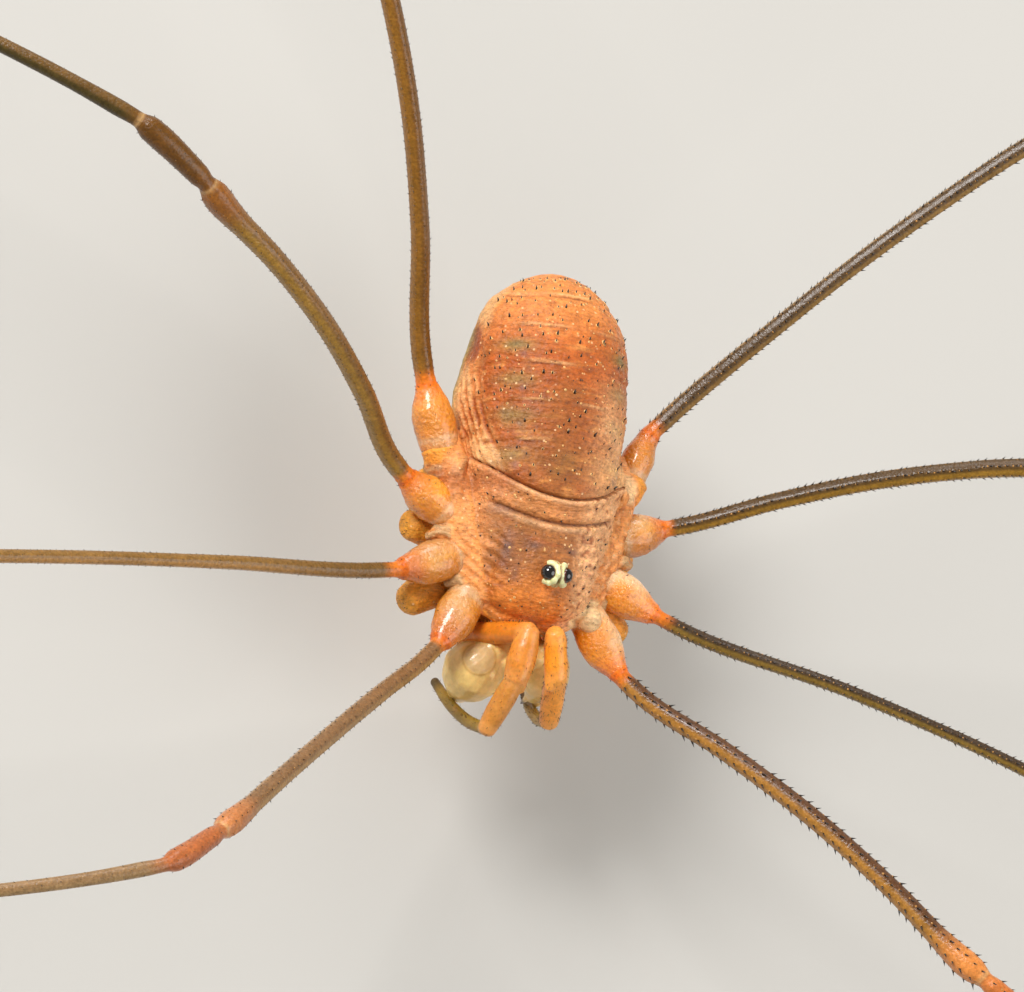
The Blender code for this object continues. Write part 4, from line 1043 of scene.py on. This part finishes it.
# how much pale cream each swollen trochanter gets on its rear, upper side, partly its own colour and partly a painted
# highlight, and its painted brightness: painted light or shade for each bulb
bulbTones = {
    ("right", 1): (0.5, 0.78), ("right", 2): (0.3, 0.77), ("right", 3): (0.0, 0.94), ("right", 4): (0.0, 0.94),
    ("left", 1): (1.0, 1.04), ("left", 2): (0.85, 1.06), ("left", 3): (0.4, 0.77), ("left", 4): (0.1, 0.86),
}
bulbColours = {"base": "#e88c20", "gold": "#f8a82e", "distal": "#ec7a1e", "cream": "#eec494", "neck": "#dd5f14",
               "streak": "#d9682e", "root": "#523a18", "far": "#4a3420", "joint": "#caa06a"}


def wayOf(heading, rise, sign):
    level = math.cos(math.radians(rise))
    return np.array((sign * level * math.cos(math.radians(heading)),
                     level * math.sin(math.radians(heading)), math.sin(math.radians(rise))))


def legKnots(side, pair):  # the same route as the leg's solids, and which knots are the joints
    sign = flips[side][0]
    lengths = legs["lengths"][pair - 1]
    femur, patella, tibia, curl, (upward, rearward) = stance[(side, pair)]
    radii = legs["radii"][pair - 1]
    turn = math.radians(femur[0])
    bow = np.array((-sign * math.sin(turn) * rearward, math.cos(turn) * rearward, upward))
    knees = [hips[pair - 1] * flips[side], femurBases[side][pair - 1]]
    for length, (heading, rise) in zip(lengths, (femur, patella, tibia)):
        knees.append(knees[-1] + wayOf(heading, rise, sign) * length)
    drop = knees[-1][2] + legs["hipHeight"] - legs["tarsusStart"]
    pitch = -math.degrees(math.asin(drop / lengths[3]))
    knees.append(knees[-1] + wayOf(tibia[0], pitch, sign) * lengths[3])

    knots, joints = [knees[0] - unit(knees[1] - knees[0]) * 0.1, knees[0]], [1]
    for i in range(1, 5):
        wayIn, wayOut = unit(knees[i] - knees[i - 1]), unit(knees[i + 1] - knees[i])
        reach = min(legs["kneeRounding"], 0.3 * np.linalg.norm(knees[i] - knees[i - 1]),
                    0.3 * np.linalg.norm(knees[i + 1] - knees[i]))
        start, end = knees[i] - wayIn * reach, knees[i] + wayOut * reach
        middle = (start + end + knees[i] * 2) / 4
        if i == 2:
            base = knots[-1]
            knots += [base + (start - base) * part + bow * math.sin(math.pi * part) for part in (0.25, 0.5, 0.75)]
        knots += [start, middle, end]
        joints.append(len(knots) - 2)
    knots.append(knees[5])
    joints.append(len(knots) - 1)

    floor = -legs["hipHeight"]
    steps = int(lengths[4] / 0.5)
    fall = knees[5][2] - floor - radii[6] * 0.96
    landing = 2 * (knees[5][2] - floor - legs["solidSink"]) / math.tan(math.radians(-pitch))
    place = knees[5].copy()
    for i in range(1, steps + 1):
        travelled = lengths[4] * i / steps
        part = travelled / lengths[4]
        left = max(1 - travelled / landing, 0)
        turn = tibia[0] + curl * part**1.3
        place = place + wayOf(turn, 0, sign) * lengths[4] / steps * math.cos(math.radians(pitch) * left)
        place[2] = floor + tarsusRadius(radii[6], part) * 0.96 + fall * left**2
        knots.append(place.copy())
    joints.append(len(knots) - 1)
    return knots, joints


def tarsusRadius(start, part):
    return start * (1 - 0.45 * part)


def legRadius(pair, travel, marks):  # the leg's outline as distance and radius
    base, mid, end, patella, tibia, metatarsus, tarsus = legs["radii"][pair - 1]
    tables = (
        ((-0.08, 0.24), (0.0, 0.315), (0.07, 0.345), (0.11, 0.348), (0.14, 0.34), (0.18, 0.355), (0.34, 0.385),
         (0.52, 0.375), (0.68, 0.325), (0.8, 0.262), (0.9, 0.212), (0.955, 0.195), (0.985, base * 1.05)),
        ((0.004, base * 0.95), (0.03, base), (0.35, mid * 0.98), (0.7, mid), (0.86, mid * 1.08), (0.945, end),
         (0.975, end * 0.95), (0.992, end * 0.74)),
        ((0.03, patella * 0.7), (0.12, patella * 0.9), (0.4, patella * 0.98), (0.7, patella * 1.06),
         (0.88, patella * 1.02), (0.975, patella * 0.68)),
        ((0.008, tibia * 0.95), (0.05, tibia * 1.12), (0.2, tibia), (0.6, tibia * 0.95), (0.92, tibia * 1.02),
         (0.965, tibia * 1.22), (0.992, tibia * 0.85)),
        ((0.006, metatarsus), (0.03, metatarsus * 1.15), (0.2, metatarsus), (0.98, metatarsus * 0.86),
         (0.998, metatarsus * 0.8)),
        ((0.01, tarsus), (1.0, tarsus * 0.55)),
    )
    places, radii = [], []
    for i, table in enumerate(tables):
        for part, radius in table:
            places.append(marks[i] + part * (marks[i + 1] - marks[i]))
            radii.append(radius)
    return np.interp(travel, places, radii)


def softened(values, width):  # rounds the corners of an outline
    kernel = np.ones(width) / width
    padded = np.concatenate([np.full(width // 2, values[0]), values, np.full(width // 2, values[-1])])
    return np.convolve(padded, kernel, mode="valid")


clawShells = []


def makeLeg(side, pair):
    leg, around = (side, pair), legs["around"]
    knots, joints = legKnots(side, pair)
    points, travel, marks = smoothPath(knots, 0.05)
    marks = marks[joints]
    near = np.arange(0, min(marks[3], 17.0), 0.045)
    far = np.arange(near[-1] + 0.09, travel[-1] - 0.02, 0.11)
    places = np.concatenate([near, far, [travel[-1]]])
    path = resample(points, travel, places)
    radii = softened(legRadius(pair, places, marks), 3)
    radii = radii * np.where((places > marks[1]) & (places < marks[4]), legs["wider"].get(leg, 1.0), 1.0)
    radii = radii * (1 - (1 - legs["bulbs"].get(leg, 1.0)) * ramp(marks[1], marks[1] - 0.25, places))
    ways, across, top = crossFrames(path)
    angles, spokes = spokesOf(around, across, top)
    segment = np.clip(np.searchsorted(marks, places, side="right") - 1, 0, 5)
    part = (places - marks[segment]) / (marks[np.minimum(segment + 1, 6)] - marks[segment])
    bulb = (segment == 0) & (part < 0.93)
    flat = (path[:, None] + spokes * radii[:, None, None]).reshape(-1, 3)
    dents = clouds(flat, 0.34, 111 + pair).reshape(len(path), around)
    pits = noise(flat, 0.085, 117 + pair).reshape(len(path), around)
    crease = hump(np.cos(angles - 1.9), 1.0, 0.1) * ramp(0.35, 0.8, part)[:, None]
    facets = 1 + legs["ridges"] * np.cos(legs["toothRows"] * (angles - np.pi / 2)) * (segment == 1)[:, None]
    facets = facets + bulb[:, None] * (legs["lumps"] * dents + legs["pits"] * pits - legs["crease"] * crease)
    (ringDepth, ringSpacing), (jointDepth, jointSpacing) = legs["tarsusRings"], legs["falseJoints"]
    rings = (segment >= 5) * ringDepth * np.cos(2 * np.pi * places / ringSpacing)
    rings = rings + (segment == 4) * jointDepth * hump(np.cos(2 * np.pi * places / jointSpacing), 1.0, 0.03)
    wide = radii[:, None] * (facets + rings[:, None])
    vertices, faces = gridShell(path[:, None] + spokes * wide[:, :, None], path[0], path[-1])

    # colours: brown segments, then the orange trochanter over them
    coat = partial(coats, {**bulbColours, **dict(zip(("side", "back", "end", "knee", "shin"), legColours[leg]))})
    where, kind = np.repeat(part, around), np.repeat(segment, around)
    blotch = clouds(flat, 0.5, 121)
    dark = 65 if side == "left" else 115  # the dark band lies a little to the rear of the top
    onDark = ramp(0.5, 0.85, np.tile(np.cos(angles - math.radians(dark)), len(path)))
    upper = np.tile(np.sin(angles), len(path))
    tint = coat(
        "side", ("back", onDark * 0.9),
        ("root", (kind == 1) * ramp(0.3, 0.0, where) * legs["darkRoots"].get(leg, 0.0)),
        ("end", (kind == 1) * ramp(0.84, 0.94, where) * 0.95), ("knee", (kind == 2) * 1.0),
        ("end", (kind == 2) * ramp(0.3, -0.1, where) * 0.6), ("shin", (kind >= 3) * 1.0),
        ("back", (kind >= 3) * onDark * 0.5),
        ("knee", (kind == 3) * (ramp(0.06, 0.0, where) + ramp(0.93, 0.97, where)) * 0.7),
        ("far", (kind >= 4) * 0.45), ("joint", (kind >= 1) * ramp(0.988, 0.997, where) * 0.6))
    streaks = clouds(flat, 0.22, 127) * ramp(0.1, 0.4, where)
    creamy, bright = bulbTones[leg]
    rearSide = (spokes[..., 1] * 0.8 + spokes[..., 2] * 0.45).ravel() + 0.25 * blotch
    # the upper side near the base and the rear, upper side are paler: partly pale cuticle, partly a painted highlight
    # where the key light falls; the whole bulb is then scaled by its painted brightness
    orange = coat(
        "base", ("gold", ramp(-0.2, 0.5, blotch) * 0.7),
        ("cream", ramp(0.3, 0.05, where) * ramp(0.0, 0.6, upper + 0.5 * blotch) * 0.35),
        ("cream", hump(where, 0.15, 0.035) * 0.6), ("distal", ramp(0.58, 0.9, where + 0.1 * blotch) * 0.8),
        ("streak", ramp(0.25, 0.7, streaks) * 0.45), ("neck", ramp(0.88, 0.97, where) * 0.65),
        ("cream", creamy * ramp(0.85, 0.5, where) * ramp(0.35, 0.8, rearSide))) * bright
    tint = coat(tint, (orange, (kind == 0) * 1.0), ("distal", (kind == 1) * ramp(0.03, 0.004, where) * 0.75))
    tint = tint * (1 + 0.1 * blotch)[:, None]

    name = "legSkin_%s_%d" % leg
    mesh = meshOf(name, [(vertices, faces)])
    mark(mesh, "tint", np.vstack([tint, tint[:1], tint[-1:]]))
    segments = ("trochanter", "femur", "patella", "tibia", "metatarsus", "tarsus")
    newPiece(name, placed(mesh), [legCuticle, bulbCuticle],
             ["leg_%s_%d_%s" % (*leg, kindName) for kindName in segments])
    slots = np.zeros(len(mesh.polygons), np.int32)
    slots[:(int(bulb.sum()) - 1) * around] = 1
    slots[(len(path) - 1) * around:len(path) * around] = 1
    mesh.polygons.foreach_set("material_index", slots)
    addTeeth(side, pair, places, path, wide, ways, across, top, marks)


def addTeeth(side, pair, places, path, wide, ways, across, top, marks):
    rng = np.random.default_rng(500 + pair * 2 + (side == "left"))
    around, rows = legs["around"], legs["toothRows"]

    def stand(kind, place, angle, lean, size, sink):
        i = min(int(np.searchsorted(places, place)), len(places) - 1)
        slot = int(round(angle / (2 * np.pi) * around)) % around
        out = math.cos(angle) * across[i] + math.sin(angle) * top[i]
        plant(kind, path[i] + out * (wide[i, slot] - sink), out * (1 - lean) + ways[i] * lean, size)

    size = legs["toothLength"][pair - 1] / 0.1 * (legs["rightTeeth"] if side == "right" else 1.0)
    spacing = legs["toothSpacing"][pair - 1]
    for row in range(rows):
        angle = np.pi / 2 + row * 2 * np.pi / rows
        for first, last, step, scale in ((marks[1] + 0.1, marks[2] - 0.12, spacing, 1.0),
                                         (marks[2] + 0.15, marks[3] - 0.1, spacing, 0.9),
                                         (marks[3] + 0.2, marks[4] - 0.15, spacing * 1.6, 0.7)):
            for place in np.arange(first + step * (0.5 if row % 2 else 0.0), last, step):
                spot = place + rng.normal(0, step * 0.07)
                turn = angle + rng.normal(0, 0.06)
                big = size * scale * rng.uniform(0.8, 1.2)
                stand("blackTeeth", spot, turn, 0.52, big, 0.012)
                stand("tanCollars", spot - 0.012, turn, 0.0, big, 0.005)
    # sparse teeth on the trochanter, more at its end
    for _ in range(legs["bulbTeeth"]):
        place = marks[0] + (marks[1] - marks[0]) * rng.uniform(0.18, 0.92)
        turn = rng.uniform(0, 2 * np.pi)
        stand("blackTeeth", place, turn, 0.35, rng.uniform(0.28, 0.5), 0.008)
    for turn in np.linspace(0.3, 5.8, 6):
        stand("blackTeeth", marks[1] - 0.1, turn, 0.45, rng.uniform(0.35, 0.6), 0.008)
    # fine hairs on the last two segments
    for place in np.arange(marks[4] + 0.1, marks[6] - 0.05, legs["hairSpacing"]):
        stand("legHairs", place, rng.uniform(0.15, np.pi - 0.15), 0.55, rng.uniform(0.7, 1.2), 0.004)

    # claw at the tip
    tip, level = path[-1], unit(ways[-1] * (1, 1, 0))
    knots = [tip - level * 0.05, tip + level * 0.08 + (0, 0, 0.012), tip + level * 0.17 - (0, 0, 0.012)]
    clawShells.append(tubeBetween(knots, (0.026, 0.022, 0.008), 8, 0.03))


for pair in (1, 2, 3, 4):
    for side in ("left", "right"):
        makeLeg(side, pair)
print("legs made with", len(roots["blackTeeth"]), "teeth")
newPiece("tarsalClaws", placed(meshOf("tarsalClaws", clawShells)), [blackChitin])

# Feelers: root, trochanter, femur, patella, tibia and the folded-back tarsus of each side.
palps = {
    "root": (0.7, -0.52, -0.66),
    "right": ((0.95, -0.93, -0.9), (0.26, -1.01, 0.6), (0.345, -1.82, 0.34), (0.6, -2.68, -0.2),
              (1.0, -1.66, -1.58)),
    "left": ((0.95, -1.0, -0.9), (0.24, -1.0, 0.6), (0.42, -1.7, 0.36), (0.75, -2.3, -0.5),
             (0.88, -1.56, -1.82)),
    "radii": {"right": ((0.19, 0.22, 0.2), (0.17, 0.215, 0.205, 0.17), (0.18, 0.245, 0.26, 0.22),
                        (0.18, 0.205, 0.2, 0.165), (0.115, 0.115, 0.105, 0.085)),
              "left": ((0.19, 0.22, 0.2), (0.17, 0.215, 0.205, 0.17), (0.18, 0.2, 0.215, 0.205),
                       (0.205, 0.205, 0.2, 0.175), (0.115, 0.115, 0.105, 0.085))},
    "hairiness": (0.15, 0.5, 0.6, 1.0, 1.3), "hairShare": {"right": 0.55, "left": 1.3}, "toothSpacing": 0.045,
    "hairs": {"Hairs per square metre": 9.0e7, "Length": 0.05 * mm, "Base radius": 0.0055 * mm, "Lean": 1.2,
              "Seed": 5, "Finish": hairChitin},
    "innerCorner": ((0.0, 0.08, 0.0), (-0.07, -0.08, 0.0), (-0.11, -0.2, -0.02)), "cornerRadii": (0.2, 0.17, 0.08),
    "bows": {1: (0, 0, 0.05), 4: (0.0, -0.15, -0.04)},  # how far femur and tarsus bow out in the middle
    "colours": {"right": ("#da8424", "#dc801e", "#d88428", "#c88230", "#8a6c24"),
                "left": ("#e88c20", "#f09420", "#f49a28", "#ec9628", "#a07c2a")},
    "joint": "#e8a660", "pale": "#f0ac5c", "tip": "#3c2a16", "voxel": 0.02,
}


def makePalp(side):
    flip = flips[side]
    joints = [np.array(place) * flip for place in (palps["root"], *palps[side])]
    shells, lines = [], []
    for i, radii in enumerate(palps["radii"][side]):
        last = len(radii) - 1
        bow = np.array(palps["bows"].get(i, (0, 0, 0)))
        knots = [joints[i] + (joints[i + 1] - joints[i]) * n / last + bow * math.sin(math.pi * n / last)
                 for n in range(last + 1)]
        shells.append(tubeBetween(knots, radii))
        lines.append(smoothPath(knots, 0.08)[0])
    corner = [joints[3] + np.array(spot) * flip for spot in palps["innerCorner"]]
    shells.append(tubeBetween(corner, palps["cornerRadii"], 16))
    mesh, points, normals = fusedSkin("palpSkin_" + side, shells, palps["voxel"], 2)
    distance = np.stack([np.min(np.linalg.norm(points[:, None] - line[None], axis=2), axis=1) for line in lines])
    nearest, order = np.argmin(distance, axis=0), np.sort(distance, axis=0)
    blotch = clouds(points, 0.3, 131)
    mark(mesh, "tint", coats(
        palps, np.array([linear(code) for code in palps["colours"][side]])[nearest],
        ("joint", hump(order[1] - order[0], 0.0, 0.05) * 0.35), ("pale", ramp(0.1, 0.8, blotch) * 0.35),
        ("tip", ramp(0.34, 0.1, np.linalg.norm(points - joints[5], axis=1)) * 0.75)))
    writePoints(mesh, points + normals * (0.006 * blotch)[:, None])
    mark(mesh, "way", np.array([unit(line[-1] - line[0]) for line in lines])[nearest])
    mark(mesh, "hair", np.array(palps["hairiness"])[nearest] * palps["hairShare"][side])
    bare = placed(mesh).copy()
    newPiece("palpSkin_" + side, mesh, [palpCuticle], ["pedipalp_" + side])
    grow("palpHairs_" + side, bare, bristleTree, palps["hairs"])
    # rows of black teeth along the lower edge of the feeler's femur
    rng = np.random.default_rng(71)
    start, along = joints[1], joints[2] - joints[1]
    outward = unit(np.cross(along, (1, 0, 0)))
    for spread in (-0.5, 0.0, 0.5):
        for part in np.arange(0.08, 0.98, palps["toothSpacing"]):
            aim = start + along * part + (outward * math.cos(spread)
                                          + np.array((flip[0], 0, 0)) * math.sin(spread)) * 0.3
            hit = int(np.argmin(np.linalg.norm(points - aim, axis=1)))
            plant("blackTeeth", points[hit] - normals[hit] * 0.008, normals[hit] + unit(along) * 0.4,
                  rng.uniform(0.35, 0.6))


for side in ("left", "right"):
    makePalp(side)
print("feelers made")

# Jaws: a stalk, a swollen amber hand and two fingers on each side.
jaws = {
    "stalk": ((0.24, -0.5, -0.5), (0.25, -1.0, -0.46), (0.3, -1.45, -0.36)), "stalkRadii": (0.18, 0.2, 0.21),
    "hand": ((0.5, -1.2, -0.32), (0.6, -1.36, -0.46), (0.68, -1.58, -0.74), (0.7, -1.74, -1.0),
             (0.7, -1.86, -1.22)),
    "handRadii": (0.28, 0.49, 0.57, 0.46, 0.22), "leftBack": (0.08, 0.16, -0.04), "leftSize": 0.76,
    "fingers": (((0.62, -1.84, -0.98), (0.6, -1.92, -1.26), (0.64, -1.96, -1.56)),
                ((0.76, -1.86, -0.98), (0.82, -1.98, -1.26), (0.72, -2.0, -1.58))),
    "fingerRadii": (0.11, 0.08, 0.03), "voxel": 0.022,
    "muscle": (0.81, -1.45, -0.22), "muscleSize": (0.26, 0.27, 0.34),  # pale oval seen through the wall
    "amber": "#ecc67a", "cream": "#cca872", "rim": "#b8883c", "line": "#a8742c", "tip": "#2a1608",
}


def makeJaw(side):
    rows = [(jaws["stalk"], jaws["stalkRadii"]), (jaws["hand"], jaws["handRadii"])]
    rows += [(finger, jaws["fingerRadii"]) for finger in jaws["fingers"]]
    back, size = (jaws["leftBack"], jaws["leftSize"]) if side == "left" else ((0, 0, 0), 1.0)
    shells = [tubeBetween((np.array(knots) + back) * flips[side], np.array(radii) * size) for knots, radii in rows]
    mesh, points, normals = fusedSkin("jawSkin_" + side, shells, jaws["voxel"], 3)
    away = np.linalg.norm((points - jaws["muscle"] * flips[side]) / jaws["muscleSize"], axis=1)
    mark(mesh, "tint", coats(
        jaws, "amber", ("rim", ramp(0.2, 0.8, clouds(points, 0.35, 141)) * 0.35),
        ("line", hump(away, 1.08, 0.07) * 0.55), ("cream", ramp(1.06, 0.94, away) * 0.95),
        ("tip", ramp(-1.28, -1.48, points[:, 2]) * 0.95)))
    newPiece("jawSkin_" + side, placed(mesh), [jawCuticle], ["chelicera_" + side])


for side in ("left", "right"):
    makeJaw(side)
print("jaws made")


def overBack(y, turn, offset=0.0):  # a place over the trunk's section at y, turned up from its left edge
    width, top, bottom, level, shrink = (value[0] for value in sectionAt(np.array([y])))
    return np.array((width * shrink * math.cos(turn), y + offset, level + (top - level) * shrink * math.sin(turn)))


# Black spicules in rows across the back, each in a pale collar, and loose pale granules.
def dressBack():
    rng = np.random.default_rng(23)
    granules = []
    for row in bodyDetail["spiculeRows"]:
        for angle in np.arange(14, 167, bodyDetail["spiculeDegrees"]):
            if rng.uniform() < 0.22:
                continue
            turn = math.radians(angle + rng.normal(0, 2.0))
            spot, normal = onBody(overBack(row, turn, rng.normal(0, 0.07)))
            size = rng.uniform(0.6, 1.2)
            plant("backSpicules", spot - normal * 0.012, unit(normal + (0, 0.9, 0)), size)
            plant("paleCollars", spot - normal * 0.01 + (0, 0.012, 0), normal, size * 1.15)
        for angle in rng.uniform(20, 160, 9):
            place = overBack(row, math.radians(angle), rng.uniform(-0.15, 0.15))
            granules.append((*onBody(place), rng.uniform(0.5, 1.0)))
    # shield: granules and short dark teeth, closer together toward its edges
    for _ in range(bodyDetail["shieldGranules"]):
        y = rng.uniform(-0.62, 1.35)
        turn = math.radians(rng.choice((rng.uniform(8, 60), rng.uniform(120, 172), rng.uniform(50, 130))))
        place = overBack(y, turn)
        if abs(place[0]) < 0.4 and -0.42 < y < 0.36:
            continue
        spot, normal = onBody(place)
        if rng.uniform() < 0.35:
            plant("backSpicules", spot - normal * 0.01, unit(normal + (0, 0.5, 0)), rng.uniform(0.45, 0.9))
        if rng.uniform() < 0.55:
            granules.append((spot, normal, rng.uniform(0.4, 0.95)))
    # dark teeth along the outer edges of the leg bases
    for sign in (-1, 1):
        for i in range(4):
            tip = np.array(coxa["lobes"][i] or hips[i] * (1.0, 1.2, 1.5)) * (sign, 1, 1)
            for _ in range(bodyDetail["coxaTeeth"]):
                way = unit(np.array((sign * rng.uniform(0.3, 1.0), rng.normal(0, 0.6), rng.uniform(-0.2, 0.6))))
                spot, normal = onBody(tip + way * 0.35)
                if normal[0] * sign >= 0.25:
                    plant("blackTeeth", spot - normal * 0.006, normal, rng.uniform(0.22, 0.4))
    for spot, normal, size in granules:
        plant("paleCollars", spot - normal * 0.006, normal, size)


dressBack()
for name, (made, length, radius, uneven, seed, finish, slot) in growth.items():
    places, ways, sizes = (np.array(column) for column in zip(*roots[name]))
    mesh = bpy.data.meshes.new(name + "Roots")
    mesh.from_pydata((places * mm + bodyMiddle).tolist(), [], [])
    mark(mesh, "way", unit(ways))
    mark(mesh, "size", sizes)
    grow(name, mesh, made, {"Length": length * mm, "Base radius": radius * mm, "Unevenness": uneven,
                            "Seed": seed, "Finish": finish})
